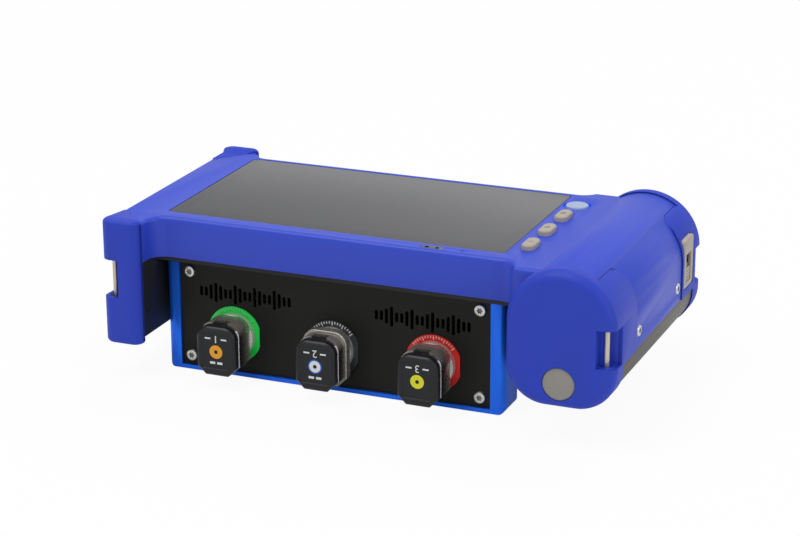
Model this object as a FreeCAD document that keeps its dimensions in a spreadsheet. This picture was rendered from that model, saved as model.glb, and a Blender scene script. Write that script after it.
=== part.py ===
import FreeCAD, Part
import math
import os
import re

import Sketcher
from FreeCAD import Placement, Rotation, Vector

# Handheld optical time domain reflectometer, in millimetres.
# +Z is up, the optical ports face -Y, the grip is at +X.
# +Z is up, the optical ports face -Y, the grip is at +X.
# The origin is the middle of the footprint, at the height of the measuring module's underside,
# on which the instrument rests.
# on which the instrument rests.

SIZES = {
    # whole instrument
    "overall_width": (243.4, "across the leg and grip bumpers, X"),
    "overall_depth": (131.0, "front to rear bumper faces, Y"),
    "bezel_top": (74.8, "height of the flat bezel"),
    "skirt_height": (18.9, "height of the front shell's sides"),
    "wall": (2.8, "moulded shell wall"),
    "top_wall": (3.0, "bezel thickness"),
    "front_bay": (17.3, "bay in front of the slab that shelters the ports"),
    "rear_bay": (11.5, "bay behind the slab"),
    "bay_fillet": (8.0, "round where the slab meets the leg and the grip"),
    "edge_round": (2.0, "round on the slab's long top edges"),
    "shadow_gap": (1.7, "how far the rear shell's plate sits behind the slab's face"),
    # leg
    "leg_width": (18.8, "leg with its bumper"),
    "leg_bottom": (20.5, "underside of the leg"),
    "leg_solid_end": (16.0, "solid end of the leg behind each bumper"),
    # grip
    "grip_width": (49.6, "grip across its bumper"),
    "grip_top": (78.5, "top of the grip's bumper"),
    "grip_bottom": (17.0, "underside of the grip's bumper"),
    "grip_low_round": (18.0, "lower corner radius of the grip"),
    "grip_inset": (0.6, "how far the grip's shell sits inside its bumper's outline"),
    "cover_split": (36.5, "height of the parting line over the battery cover"),
    # bumpers and strap bars
    "bumper_face": (3.0, "bumper thickness over the ends"),
    "bumper_proud": (1.0, "how far the leg bumpers stand proud"),
    "bumper_drop": (3.5, "how far the leg bumpers reach below the leg"),
    "bumper_seat": (1.2, "depth of the seat that a bumper skirt fills"),
    "bumper_round": (5.0, "round on the bumpers' corners"),
    "skirt_reach": (31.0, "bumper skirt on the grip's outer side"),
    "skirt_short": (8.5, "bumper skirt over the grip's top and inner side"),
    "skirt_low": (13.5, "bumper skirt beside the battery cover"),
    "skirt_top": (73.5, "upper edge of the skirt on the grip's outer side"),
    "leg_skirt": (21.0, "bumper skirt on the leg's outer side"),
    "leg_skirt_inner": (5.0, "bumper skirt on the leg's inner side"),
    "notch_low": (38.8, "lower wall of the leg's strap notch"),
    "notch_high": (57.0, "upper wall of the leg's strap notch"),
    "grip_notch_low": (37.5, "lower wall of the grip's strap notch"),
    "grip_notch_high": (54.8, "upper wall of the grip's strap notch"),
    "notch_across": (8.5, "strap notch, X"),
    "notch_deep": (10.5, "strap notch, Y"),
    "bar_radius": (1.2, "strap bar"),
    "bar_side": (5.0, "strap bar behind the bumper's outer face"),
    "bar_back": (4.6, "strap bar behind the bumper's front face"),
    "bar_seat": (2.0, "length of bar held in the shell at each end"),
    "bar_seat_low": (0.8, "length of the grip's bars held above the parting line"),
    "plug_radius": (7.4, "grey end plug"),
    "plug_height": (28.3, "height of the end plug's centre"),
    "plug_step": (0.4, "end plug behind the bumper's face"),
    # glass and display
    "glass_width": (162.6, "touch glass, X"),
    "glass_depth": (89.8, "touch glass, Y"),
    "glass_thick": (1.8, "touch glass"),
    "glass_round": (1.5, "corner radius of the glass"),
    "glass_gap": (0.3, "gap round the glass"),
    "glass_front": (39.7, "front edge of the glass ahead of the middle"),
    "ledge": (4.0, "ledge that carries the glass"),
    "lcd_thick": (4.8, "display panel"),
    "lcd_gap": (0.5, "gap round the display panel"),
    # keys
    "key_column": (70.4, "X of the keys"),
    "key_first": (-27.0, "Y of the front key"),
    "key_pitch": (21.8, "between key centres"),
    "key_length": (12.6, "oblong key, Y"),
    "key_width": (6.2, "oblong key, X"),
    "key_height": (2.3, "key above the bezel"),
    "key_flange": (1.1, "flange that holds a key under the bezel"),
    "key_lip": (1.2, "how far the flange reaches past the key"),
    "key_gap": (0.2, "running gap round a key"),
    "key_travel": (0.8, "key stroke"),
    "key_post_radius": (1.4, "post that carries the key board"),
    "plunger_radius": (1.5, "plunger under a key"),
    "power_radius": (5.2, "round power button"),
    "power_from_key": (19.5, "power button behind the rear key"),
    "power_height": (0.6, "power button above the bezel"),
    "dish_radius": (6.6, "dished ring round the power button"),
    "dish_depth": (0.8, "depth of that ring"),
    "board_thick": (1.6, "circuit board"),
    "sensor_width": (10.2, "sensor window"),
    "sensor_depth": (3.6, "sensor window"),
    "sensor_thick": (0.8, "sensor window"),
    "sensor_column": (31.0, "X of the sensor window"),
    "microphone_radius": (0.6, "microphone hole"),
    "microphone_step": (14.0, "microphone hole beside the sensor window"),
    # main board
    "board_height": (60.0, "underside of the main board"),
    "post_radius": (3.0, "moulded post"),
    "shield_width": (30.0, "processor shield, both ways"),
    "shield_height": (3.0, "processor shield"),
    "shield_wall": (0.5, "processor shield's sheet"),
    # measuring module
    "module_column": (-18.4, "X of the module's middle"),
    "module_width": (165.2, "across the tray"),
    "module_height": (53.4, "tray with its lid"),
    "module_rear": (50.0, "Y of the module's rear face"),
    "tray_floor": (1.9, "tray floor"),
    "tray_corner": (3.0, "outer corner radius of the tray"),
    "frame_depth": (16.8, "full-width front frame of the tray"),
    "finger_room": (26.0, "how far the tray steps in behind that frame, on the grip's side"),
    "box_wall": (2.0, "tray wall beside the finger room"),
    "tray_lip": (1.3, "tray edge in front of the port panel"),
    "lid_thick": (1.5, "module lid"),
    "panel_width": (151.8, "port panel"),
    "panel_thick": (2.0, "port panel"),
    "panel_face": (25.0, "port panel behind the front bumper face"),
    "panel_gap": (0.1, "gap round the port panel"),
    "screw_inset": (5.0, "panel screw from the panel's side edge"),
    "screw_low": (6.8, "height of the lower panel screws"),
    "screw_high": (47.6, "height of the upper panel screws"),
    "screw_radius": (1.5, "M3 shank"),
    "screw_length": (8.0, "panel screw"),
    "head_radius": (2.8, "M3 pan head"),
    "head_height": (1.7, "M3 pan head"),
    "thread_gap": (0.05, "between a shank and its hole"),
    "vent_pitch": (2.45, "between vent slots"),
    "vent_width": (1.55, "vent slot"),
    "vent_short": (4.7, "short vent slot"),
    "vent_step": (2.4, "each longer vent slot is this much longer"),
    "vent_height": (38.7, "centre line of the vents"),
    "vent_middle": (43.4, "middle of a vent group from the module's middle"),
    # optical ports
    "port_pitch": (48.9, "between port centres"),
    "port_height": (19.8, "height of the port centres"),
    "ring_radius": (13.3, "label ring"),
    "ring_flat": (12.5, "half width of the label ring across its flats"),
    "ring_thick": (0.5, "label ring"),
    "spigot_radius": (7.4, "adapter spigot through the panel"),
    "spigot_length": (8.0, "adapter spigot behind the flange"),
    "flange_radius": (10.4, "round flange of the adapter"),
    "flange_thick": (4.0, "round flange of the adapter"),
    "body_top": (10.4, "top of the adapter body above the port centre"),
    "crown_round": (6.0, "round upper corners of adapter body and flip cover"),
    "body_half": (9.6, "adapter body's half width"),
    "body_drop": (13.4, "adapter body below the port centre"),
    "body_chamfer": (4.0, "adapter body's lower corners"),
    "body_length": (11.5, "adapter body in front of the flange"),
    "collar_length": (5.0, "wider rear stage of the power meter's body"),
    "collar_step": (0.8, "how far that stage stands out"),
    "socket_radius": (8.5, "recess round the barrel"),
    "socket_depth": (12.5, "recess round the barrel"),
    "barrel_radius": (4.0, "threaded barrel"),
    "barrel_length": (11.4, "threaded barrel in front of the recess floor"),
    "barrel_collar": (6.0, "seat of the barrel in the spigot"),
    "key_slot": (2.1, "key slot in the barrel"),
    "sleeve_radius": (2.0, "ceramic sleeve"),
    "sleeve_bore": (1.25, "ferrule bore"),
    "sleeve_length": (11.0, "ceramic sleeve"),
    "nut_radius": (11.0, "fixing nut across its corners"),
    "nut_thick": (2.5, "fixing nut"),
    # flip covers
    "flap_thick": (4.1, "flip cover"),
    "flap_gap": (0.1, "between flip cover and body"),
    "flap_top": (10.0, "top of the flip cover above the port centre"),
    "flap_bevel": (1.0, "front edge bevel"),
    "label_rim": (2.4, "rim round the label recess"),
    "label_depth": (0.5, "label recess"),
    "hinge_rise": (8.4, "hinge pin above the port centre"),
    "hinge_back": (2.6, "hinge pin behind the cover's back"),
    "hinge_radius": (0.6, "hinge pin"),
    "hinge_half": (5.0, "half length of the hinge pin"),
    "hinge_gap": (0.05, "running gap on the pin"),
    "lug_half": (3.3, "half width of the cover's lug"),
    "lug_radius": (1.6, "round end of the lug"),
    "lug_gap": (0.3, "gap beside the lug"),
    "hinge_room": (5.3, "depth of the hinge notch in the body"),
    "swing_room": (0.9, "step in the body that clears the cover's upper edge as it swings"),
    # battery
    "cell_radius": (9.2, "cell"),
    "cell_length": (65.0, "cell"),
    "cell_pitch": (18.6, "between cell centres"),
    "cell_low": (31.8, "height of the lower cells"),
    "cell_shift": (1.5, "cells beside the grip's middle, clear of the screw lugs"),
    "lug_thick": (4.0, "battery cover's screw lugs"),
    "frame_thick": (3.0, "cell frame"),
    "frame_pocket": (1.5, "depth of a cell's socket in its frame"),
    "frame_gap": (0.2, "gap round a cell frame"),
    "side_screw_place": (29.1, "side screws from the middle, Y"),
    "side_screw_height": (43.6, "height of the side screws"),
    # charging port
    "plate_place": (44.0, "Y of the port plate's middle"),
    "plate_width": (14.0, "port plate, Y"),
    "plate_low": (40.2, "lower edge of the port plate"),
    "plate_high": (63.6, "upper edge of the port plate"),
    "plate_thick": (1.6, "port plate's face"),
    "plate_deep": (3.4, "port plate with its rim"),
    "plate_round": (2.0, "corner radius of the port plate"),
    "track_width": (7.6, "track in the port plate"),
    "track_low": (42.6, "lower end of the track"),
    "track_high": (56.0, "upper end of the track"),
    "shutter_height": (6.4, "shutter"),
    "shutter_gap": (0.15, "running gap round the shutter"),
    "shutter_flange": (1.0, "flange behind the plate"),
    "shutter_wing": (1.2, "how far the flange reaches past the track"),
    "jack_width": (9.0, "charging jack"),
    "jack_length": (13.0, "charging jack"),
    "jack_height": (10.0, "charging jack"),
    "jack_bore": (3.1, "charging jack's bore"),
    "jack_bore_depth": (9.5, "depth of that bore"),
    "jack_pin": (1.0, "charging jack's centre pin"),
    # inside the module
    "optics_gap": (0.5, "gap round the optics board"),
    "optics_length": (32.0, "splitter block behind the first port"),
    "optics_width": (24.0, "splitter block"),
    "optics_rise": (9.0, "splitter block above the port centre"),
    "fin_pitch": (5.5, "between the cooling slots of the splitter block"),
    "fin_width": (2.5, "cooling slot"),
    "fin_depth": (3.0, "cooling slot"),
    "can_radius": (6.4, "photodiode can"),
    "can_length": (9.0, "photodiode can"),
    "tube_radius": (4.8, "laser tube"),
    "tube_length": (22.0, "laser tube"),
    "saddle": (4.0, "saddle in from the laser tube's ends"),
    "spool_radius": (21.0, "fibre spool's flanges"),
    "spool_core": (17.0, "fibre spool's winding"),
    "spool_bore": (15.0, "fibre spool's open middle"),
    "spool_flange": (1.2, "fibre spool's flange"),
    "spool_height": (8.0, "fibre spool"),
    "spool_place": (34.0, "fibre spool's centre ahead of the module's rear face"),
}

# Places worked out from the sizes. Each may use sizes and earlier places.
PLACES = {
    "side": "overall_width / 2",
    "end": "overall_depth / 2",
    "shell_end": "end - bumper_face",
    "skirt_foot": "bezel_top - skirt_height",
    "slab_face": "end - front_bay",
    "slab_back": "end - rear_bay",
    "leg_outer": "side - bumper_proud",
    "leg_inner": "side - leg_width",
    "grip_middle": "side - grip_width / 2",
    "grip_inner": "side - grip_width",
    "grip_arc": "grip_top - grip_width / 2",
    "grip_wall": "grip_inset + wall",
    "grip_core": "grip_inset + bumper_seat",
    "under_bezel": "bezel_top - top_wall",
    "glass_bed": "bezel_top - glass_thick",
    "glass_middle": "glass_depth / 2 - glass_front",
    "lcd_bed": "glass_bed - lcd_thick",
    "power_place": "key_first + 2 * key_pitch + power_from_key",
    "key_bed": "under_bezel - key_flange",
    "key_foot": "key_bed - key_flange",
    "key_board_top": "key_foot - key_travel - 0.1",
    "sensor_place": "-(slab_face + glass_front) / 2",
    "panel_front": "-(end - panel_face)",
    "panel_back": "panel_front + panel_thick",
    "tray_front": "panel_front - tray_lip",
    "tray_inner": "panel_width / 2",
    "tray_top": "module_height - lid_thick",
    "frame_rear": "tray_front + frame_depth",
    "box_side": "module_width / 2 - finger_room",
    "box_inner": "box_side - box_wall",
    "screw_column": "panel_width / 2 - screw_inset",
    "rear_column": "box_inner - screw_inset",
    "ring_front": "panel_front - ring_thick",
    "spigot_end": "ring_front + spigot_length",
    "body_rear": "ring_front - flange_thick",
    "body_front": "body_rear - body_length",
    "socket_floor": "body_front + socket_depth",
    "flap_back": "body_front - flap_gap",
    "flap_front": "flap_back - flap_thick",
    "hinge_place": "flap_back + hinge_back",
    "hinge_height": "port_height + hinge_rise",
    "cell_high": "cell_low + cell_pitch",
    "cell_end": "cell_length / 2",
    "bar_place": "end - bar_back",
    "bar_column": "side - bar_side",
    "plate_face": "side - panel_gap",
    "plate_rear": "plate_face - plate_thick",
    "plate_seat": "plate_face - plate_deep",
    "jack_level": "(track_high + track_low + shutter_height) / 2",
    "optics_top": "port_height - barrel_radius - wall",
    "optics_foot": "optics_top - board_thick",
}

BEVEL_ANGLE = 45

doc = FreeCAD.newDocument("reflectometer")
sheet = doc.addObject("Spreadsheet::Sheet", "sizes")
for row, (alias, (number, meaning)) in enumerate(SIZES.items(), 1):
    sheet.set(f"A{row}", meaning)
    sheet.set(f"B{row}", str(number))
    sheet.setAlias(f"B{row}", alias)
doc.recompute()


def formula(text):
    """The sheet expression for a formula in plain words."""
    def word(match):
        name = match.group(0)
        if name in PLACES:
            return "(" + formula(PLACES[name]) + ")"
        return "sizes." + name if name in SIZES else name
    return re.sub(r"[a-z_]+", word, str(text))


def value(text):
    return float(sheet.evalExpression(formula(text)))


def bind(thing, path, text):
    thing.setExpression(path, formula(text))


def bend(radius, clockwise=False):
    """A round stretch of an outline, between the corners before and after it."""
    return {"radius": radius, "clockwise": clockwise}


def round_edge(start, end, radius, clockwise):
    if clockwise:
        start, end = end, start
    chord = end - start
    rise = math.sqrt(max(radius ** 2 - (chord.Length / 2) ** 2, 0.0))
    left = Vector(-chord.y, chord.x, 0).normalize()
    centre = (start + end) / 2 + left * rise
    first = math.atan2(start.y - centre.y, start.x - centre.x)
    last = math.atan2(end.y - centre.y, end.x - centre.x)
    return Part.ArcOfCircle(Part.Circle(centre, Vector(0, 0, 1), radius), first, last)


def add_outline(sketch, path):
    """Draws a closed outline of corners and bends, each corner held by two bound distances."""
    corners = [item for item in path if not isinstance(item, dict)]
    bends = {}
    for item in path:
        if isinstance(item, dict):
            bends[seen] = item
        else:
            seen = corners.index(item)
    first = sketch.GeometryCount
    count = len(corners)
    points = [Vector(value(x), value(y), 0) for x, y in corners]
    for index, start in enumerate(points):
        end = points[(index + 1) % count]
        item = bends.get(index)
        if item:
            sketch.addGeometry(round_edge(start, end, value(item["radius"]), item["clockwise"]))
        else:
            sketch.addGeometry(Part.LineSegment(start, end))
    tail = [2 if bends.get(i, {}).get("clockwise") else 1 for i in range(count)]
    for index in range(count):
        after = (index + 1) % count
        sketch.addConstraint(Sketcher.Constraint("Coincident", first + index, 3 - tail[index],
                                                 first + after, tail[after]))
        for kind, text, number in zip(("DistanceX", "DistanceY"), corners[index], points[index]):
            held = sketch.addConstraint(Sketcher.Constraint(kind, -1, 1, first + index, tail[index], number))
            bind(sketch, f"Constraints[{held}]", text)
        if index in bends:
            radius = bends[index]["radius"]
            held = sketch.addConstraint(Sketcher.Constraint("Radius", first + index, value(radius)))
            bind(sketch, f"Constraints[{held}]", radius)


def add_slot(sketch, x, low, high, width, upright=True):
    """Draws a slot with round ends, along the sketch's second axis or its first."""
    first = sketch.GeometryCount
    near, far, radius, place = value(low), value(high), value(width) / 2, value(x)
    spots = [Vector(place, near, 0), Vector(place, far, 0)]
    across = Vector(radius, 0, 0)
    if not upright:
        spots = [Vector(near, place, 0), Vector(far, place, 0)]
        across = Vector(0, -radius, 0)
    turn = 0.0 if upright else -math.pi / 2
    circle = [Part.Circle(spot, Vector(0, 0, 1), radius) for spot in spots]
    sketch.addGeometry(Part.LineSegment(spots[0] + across, spots[1] + across))
    sketch.addGeometry(Part.ArcOfCircle(circle[1], turn, turn + math.pi))
    sketch.addGeometry(Part.LineSegment(spots[1] - across, spots[0] - across))
    sketch.addGeometry(Part.ArcOfCircle(circle[0], turn + math.pi, turn + 2 * math.pi))
    for index in range(4):
        sketch.addConstraint(Sketcher.Constraint("Tangent", first + index, 2, first + (index + 1) % 4, 1))
    for end, along in ((3, low), (1, high)):
        spot = spots[0] if end == 3 else spots[1]
        texts = (x, along) if upright else (along, x)
        for kind, text, number in zip(("DistanceX", "DistanceY"), texts, spot):
            held = sketch.addConstraint(Sketcher.Constraint(kind, -1, 1, first + end, 3, number))
            bind(sketch, f"Constraints[{held}]", text)
    held = sketch.addConstraint(Sketcher.Constraint("Radius", first + 1, radius))
    bind(sketch, f"Constraints[{held}]", f"({width}) / 2")


class Piece:
    """One separate piece: a PartDesign body whose features are bound to the sheet."""

    def __init__(self, name, x="0"):
        self.name = name
        self.count = 0
        self.body = doc.addObject("PartDesign::Body", name)
        self.body.AllowCompound = True
        bind(self.body, "Placement.Base.x", x)

    def feature(self, kind):
        self.count += 1
        return self.body.newObject(kind, f"{self.name}_{self.count}")

    def block(self, x, y, z, cut=False):
        box = self.feature("PartDesign::SubtractiveBox" if cut else "PartDesign::AdditiveBox")
        for axis, side, (low, high) in zip("xyz", ("Length", "Width", "Height"), (x, y, z)):
            bind(box, side, f"({high}) - ({low})")
            bind(box, f"Placement.Base.{axis}", low)
        return self

    def rod(self, axis, spot, radius, span, cut=False):
        """A cylinder along an axis, centred on a spot of the other two axes."""
        rod = self.feature("PartDesign::SubtractiveCylinder" if cut else "PartDesign::AdditiveCylinder")
        turn = {"x": Rotation(Vector(0, 1, 0), 90), "y": Rotation(Vector(1, 0, 0), -90),
                "z": Rotation()}[axis]
        rod.Placement = Placement(Vector(), turn)
        bind(rod, "Radius", radius)
        bind(rod, "Height", f"({span[1]}) - ({span[0]})")
        places = dict(zip([name for name in "xyz" if name != axis], spot))
        places[axis] = span[0]
        for name, text in places.items():
            bind(rod, f"Placement.Base.{name}", text)
        return self

    def sketch(self, plane, offset):
        drawing = self.feature("Sketcher::SketchObject")
        origin = {item.Role: item for item in self.body.Origin.OriginFeatures}
        drawing.AttachmentSupport = [(origin[plane + "_Plane"], "")]
        drawing.MapMode = "FlatFace"
        bind(drawing, "AttachmentOffset.Base.z", offset)
        return drawing

    def prism(self, plane, span, *outlines, cut=False, taper=0):
        """Outlines on XY, XZ or YZ, carried along the third axis over a span."""
        low, high = span
        drawing = self.sketch(plane, f"-({high})" if plane == "XZ" else low)
        for outline in outlines:
            outline(drawing)
        solid = self.feature("PartDesign::Pocket" if cut else "PartDesign::Pad")
        solid.Profile = drawing
        solid.Reversed = cut
        if taper:
            solid.TaperAngle = taper
        bind(solid, "Length", f"({high}) - ({low})")
        return self

    def edges(self, pick):
        doc.recompute()
        shape = self.body.Tip.Shape
        return [f"Edge{i}" for i, edge in enumerate(shape.Edges, 1) if pick(edge)]

    def soften(self, size, pick, bevel=False):
        names = self.edges(pick)
        base = self.body.Tip
        trim = self.feature("PartDesign::Chamfer" if bevel else "PartDesign::Fillet")
        trim.Base = (base, names)
        bind(trim, "Size" if bevel else "Radius", size)
        return self

    def mirrored(self, plane):
        """Repeats the last feature across one of the body's own planes."""
        features = self.body.Group[-1:]
        origin = {item.Role: item for item in self.body.Origin.OriginFeatures}
        mirror = self.feature("PartDesign::Mirrored")
        mirror.Originals = features
        mirror.MirrorPlane = (origin[plane + "_Plane"], [""])
        self.body.Tip = mirror
        return self


def joined(name, first, *others):
    union = doc.addObject("Part::MultiFuse", name)
    union.Shapes = [solid_of(first)] + [solid_of(other) for other in others]
    return union


def cut(name, base, *tools):
    """A piece less its tools."""
    result = doc.addObject("Part::Cut", name)
    result.Base = solid_of(base)
    result.Tool = solid_of(tools[0]) if len(tools) == 1 else joined(name + "_tools", *tools)
    return result


def common(name, first, second):
    result = doc.addObject("Part::Common", name)
    result.Base = solid_of(first)
    result.Tool = solid_of(second)
    return result


def flipped(name, source):
    """The same piece at the other end of the instrument, mirrored front to back."""
    result = doc.addObject("Part::Mirroring", name)
    result.Source = solid_of(source)
    result.Normal = Vector(0, 1, 0)
    return result


def solid_of(thing):
    return thing.body if isinstance(thing, Piece) else thing


def outline(path):
    return lambda sketch: add_outline(sketch, path)


def slot(*place, **how):
    return lambda sketch: add_slot(sketch, *place, **how)


def both_ends(near, far):
    """The spans between two distances from the middle, at the front and at the rear."""
    return ((f"-({far})", f"-({near})"), (near, far))


def rounded(x, y, radius):
    """A rectangle with four equal round corners."""
    (left, right), (low, high) = x, y
    inner = [f"({left}) + ({radius})", f"({right}) - ({radius})", f"({low}) + ({radius})",
             f"({high}) - ({radius})"]
    return [(inner[0], low), (inner[1], low), bend(radius), (right, inner[2]), (right, inner[3]),
            bend(radius),
            (inner[1], high), (inner[0], high), bend(radius), (left, inner[3]), (left, inner[2]),
            bend(radius)]


def around(middle, size):
    return (f"({middle}) - ({size}) / 2", f"({middle}) + ({size}) / 2")


def grip_section(inset):
    """The grip's section: a half-round top and softer lower corners."""
    left = f"grip_inner + {inset}"
    right = f"side - ({inset})"
    low = f"grip_bottom + {inset}"
    top = f"grip_top - ({inset})"
    corner = f"grip_low_round - ({inset})"
    arch = f"grip_width / 2 - ({inset})"
    return [("grip_inner + grip_low_round", low), ("side - grip_low_round", low), bend(corner),
            (right, "grip_bottom + grip_low_round"), (right, "grip_arc"), bend(arch),
            ("grip_middle", top), bend(arch), (left, "grip_arc"), (left, "grip_bottom + grip_low_round"),
            bend(corner)]


def bumper_skirt_side(reach, edge="0"):
    """Side view of the front grip bumper: how far its skirt reaches back at each height."""
    face = "-(end + 1)"
    low = f"-(end - skirt_low - ({edge}))"
    far = f"-(end - ({reach}) - ({edge}))"
    near = f"-(end - skirt_short - ({edge}))"
    top = f"skirt_top + ({edge})"
    turn = "6"
    return [(face, "grip_bottom - 1"), (low, "grip_bottom - 1"), (low, f"cover_split - ({edge})"),
            (far, f"cover_split - ({edge})"), (far, f"{top} - {turn}"), bend(turn),
            (f"{far} - {turn}", top), (near, top), (near, "grip_top + 1"), (face, "grip_top + 1")]


# The grip's bumper zones, front and rear: where the shell gives way to the bumper.
def bumper_zone(name, edge):
    zone = Piece(name)
    zone.prism("YZ", ("grip_middle", "side + 1"), outline(bumper_skirt_side("skirt_reach", edge)))
    zone.block(("grip_inner - 1", "grip_middle"), ("-(end + 1)", f"-(end - skirt_short - ({edge}))"),
               ("grip_bottom - 1", "grip_top + 1"))
    return zone


def grip_prism(name, inset, far):
    return Piece(name).prism("XZ", (f"-({far})", far), outline(grip_section(inset)))


def leg_wedge(edge):
    """Plan view of the front leg bumper, whose rear edge runs forward towards the inner side."""
    back = f"-(end - leg_skirt - ({edge}))"
    middle = f"-(end - (leg_skirt + leg_skirt_inner) / 2 - ({edge}))"
    front = f"-(end - leg_skirt_inner - ({edge}))"
    return [("-side - 1", "-(end + 1)"), ("1 - leg_inner", "-(end + 1)"), ("1 - leg_inner", front),
            ("-leg_inner - 1", front), ("-leg_inner - leg_width / 2", middle), ("2 - leg_outer", back),
            ("-side - 1", back)]


LEG_CORE = (("-(leg_outer - bumper_seat)", "-(leg_inner + bumper_seat)"), ("-shell_end", "shell_end"),
            ("leg_bottom + bumper_seat", "bezel_top - bumper_seat"))

grip_zone = bumper_zone("grip_zone", "0")
grip_zone_gap = bumper_zone("grip_zone_gap", "0.25")
grip_core = grip_prism("grip_core", "grip_core", "shell_end")
grip_seat = cut("grip_seat", grip_zone_gap, grip_core)

leg_zone = Piece("leg_zone").prism("XY", ("leg_bottom - bumper_drop - 1", "bezel_top + bumper_proud + 1"),
                                   outline(leg_wedge("0")))
leg_zone_gap = Piece("leg_zone_gap").prism("XY", ("leg_bottom - bumper_drop - 1",
                                                  "bezel_top + bumper_proud + 1"),
                                           outline(leg_wedge("0.25")))
leg_core = Piece("leg_core").block(*LEG_CORE)
leg_seat = cut("leg_seat", leg_zone_gap, leg_core)
seats = [grip_seat, flipped("grip_seat_rear", grip_seat), leg_seat, flipped("leg_seat_rear", leg_seat)]

# Strap notches: the four outer corners, open to the end and to the side, with a bar across each.
notches = Piece("notches")
strap_bars = Piece("strap_bars")
bar_holes = Piece("bar_holes")
for sign, reach, wall_low, wall_high, seat in (
        ("-", ("-side - 1", "-(side - notch_across)"), "notch_low", "notch_high", "bar_seat"),
        ("", ("side - notch_across", "side + 1"), "grip_notch_low", "grip_notch_high", "bar_seat_low")):
    for span in both_ends("end - notch_deep", "end + 1"):
        notches.block(reach, span, (wall_low, wall_high))
    for place in ("-bar_place", "bar_place"):
        spot = (f"{sign}(bar_column)", place)
        held = (f"{wall_low} - {seat}", f"{wall_high} + bar_seat")
        strap_bars.rod("z", spot, "bar_radius", held)
        bar_holes.rod("z", spot, "bar_radius + thread_gap", held)

# ----------------------------------------------------------------------------------------------------
# Front shell: the slab's bezel and sides, the leg's top and the grip's arch in one moulding.

def corner_web(x, y, sign_x, sign_y, root):
    """Plan view of the round web in a bay's corner: sign_x points along the slab, sign_y out of it."""
    start = f"{x} - ({sign_x}) * ({root})"
    reach = f"{x} + ({sign_x}) * bay_fillet"
    out = f"{y} + ({sign_y}) * bay_fillet"
    behind = f"{y} - ({sign_y}) * wall / 2"
    return [(start, behind), (reach, behind), (reach, y), bend("bay_fillet", clockwise=sign_x * sign_y > 0),
            (x, out), (start, out)]


def at_bezel(edge):
    """An edge that runs round the outside of the bezel's flat top."""
    box = edge.BoundBox
    crease = abs(box.XMin - box.XMax) < 0.01 and box.XMin > value("grip_inner")
    return abs(box.ZMin - value("bezel_top")) < 0.01 and box.ZLength < 0.01 and not crease


shell = Piece("front_body")
BEZEL = ("skirt_foot", "bezel_top")
shell.block(("-leg_inner - 1", "grip_middle"), ("-slab_face", "slab_back"), BEZEL)
shell.block(("-leg_outer", "-leg_inner"), ("-shell_end", "shell_end"), BEZEL)
for sign, face in ((-1, "-slab_face"), (1, "slab_back")):
    shell.prism("XY", BEZEL, outline(corner_web("-leg_inner", face, 1, sign, "wall / 2")))
    shell.prism("XY", BEZEL, outline(corner_web("grip_inner + grip_inset", face, -1, sign, "grip_width / 3")))
shell.prism("XZ", ("-shell_end", "shell_end"), outline(grip_section("grip_inset")))
shell.soften("edge_round", at_bezel)
shell.block(("grip_inner - 1", "side"), ("-end", "end"), ("grip_bottom - 1", "cover_split"), cut=True)
shell.block(("grip_inner - 1", "grip_middle"), ("-end", "end"), ("cover_split - 1", "skirt_foot"), cut=True)
# hollow of the slab, the leg and the grip
shell.block(("-leg_inner", "grip_middle"), ("-slab_face + wall", "slab_back - wall"),
            ("skirt_foot - 1", "under_bezel"), cut=True)
shell.block(("-leg_outer + wall", "-leg_inner - wall"), ("-shell_end + leg_solid_end",
                                                         "shell_end - leg_solid_end"),
            ("skirt_foot - 1", "under_bezel"), cut=True)
shell.prism("XZ", ("-shell_end + wall", "shell_end - wall"), outline(grip_section("grip_wall")), cut=True)
# the grip's solid corners behind the strap notches
for span in both_ends("end - notch_deep - wall", "shell_end"):
    shell.block(("side - notch_across - wall", "side - grip_core"), span,
                ("cover_split", "notch_high + wall"))
# seat, ledge and window of the touch glass
glass_x = around("module_column", "glass_width + 2 * glass_gap")
glass_y = around("glass_middle", "glass_depth + 2 * glass_gap")
shell.prism("XY", ("glass_bed", "bezel_top + 1"),
            outline(rounded(glass_x, glass_y, "glass_round + glass_gap")), cut=True)
window_x = around("module_column", "glass_width - 2 * ledge")
window_y = around("glass_middle", "glass_depth - 2 * ledge")
shell.block(window_x, window_y, ("under_bezel - 1", "bezel_top"), cut=True)
# key openings, the power button's dish, the sensor window's seat and the microphone hole
KEYS = ("key_lower", "key_middle", "key_upper")


def key_slot_ends(index, grow):
    """The centres of a key's two round ends, with the key's length grown by twice an amount."""
    middle = f"key_first + {index} * key_pitch"
    reach = "(key_length - key_width) / 2"
    return (f"{middle} - {reach}", f"{middle} + {reach}", f"key_width + 2 * ({grow})")


for index in range(len(KEYS)):
    low, high, width = key_slot_ends(index, "key_gap")
    shell.prism("XY", ("under_bezel - 1", "bezel_top + 1"), slot("key_column", low, high, width), cut=True)
POWER_SPOT = ("key_column", "power_place")
shell.rod("z", POWER_SPOT, "dish_radius", ("bezel_top - dish_depth", "bezel_top + 1"), cut=True)
shell.rod("z", POWER_SPOT, "power_radius + key_gap", ("under_bezel - 1", "bezel_top + 1"), cut=True)
sensor_x = around("sensor_column", "sensor_width")
sensor_y = around("sensor_place", "sensor_depth")
shell.block(sensor_x, sensor_y, ("bezel_top - sensor_thick", "bezel_top + 1"), cut=True)
shell.rod("z", ("sensor_column + microphone_step", "sensor_place"), "microphone_radius",
          ("under_bezel - 1", "bezel_top + 1"), cut=True)
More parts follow.
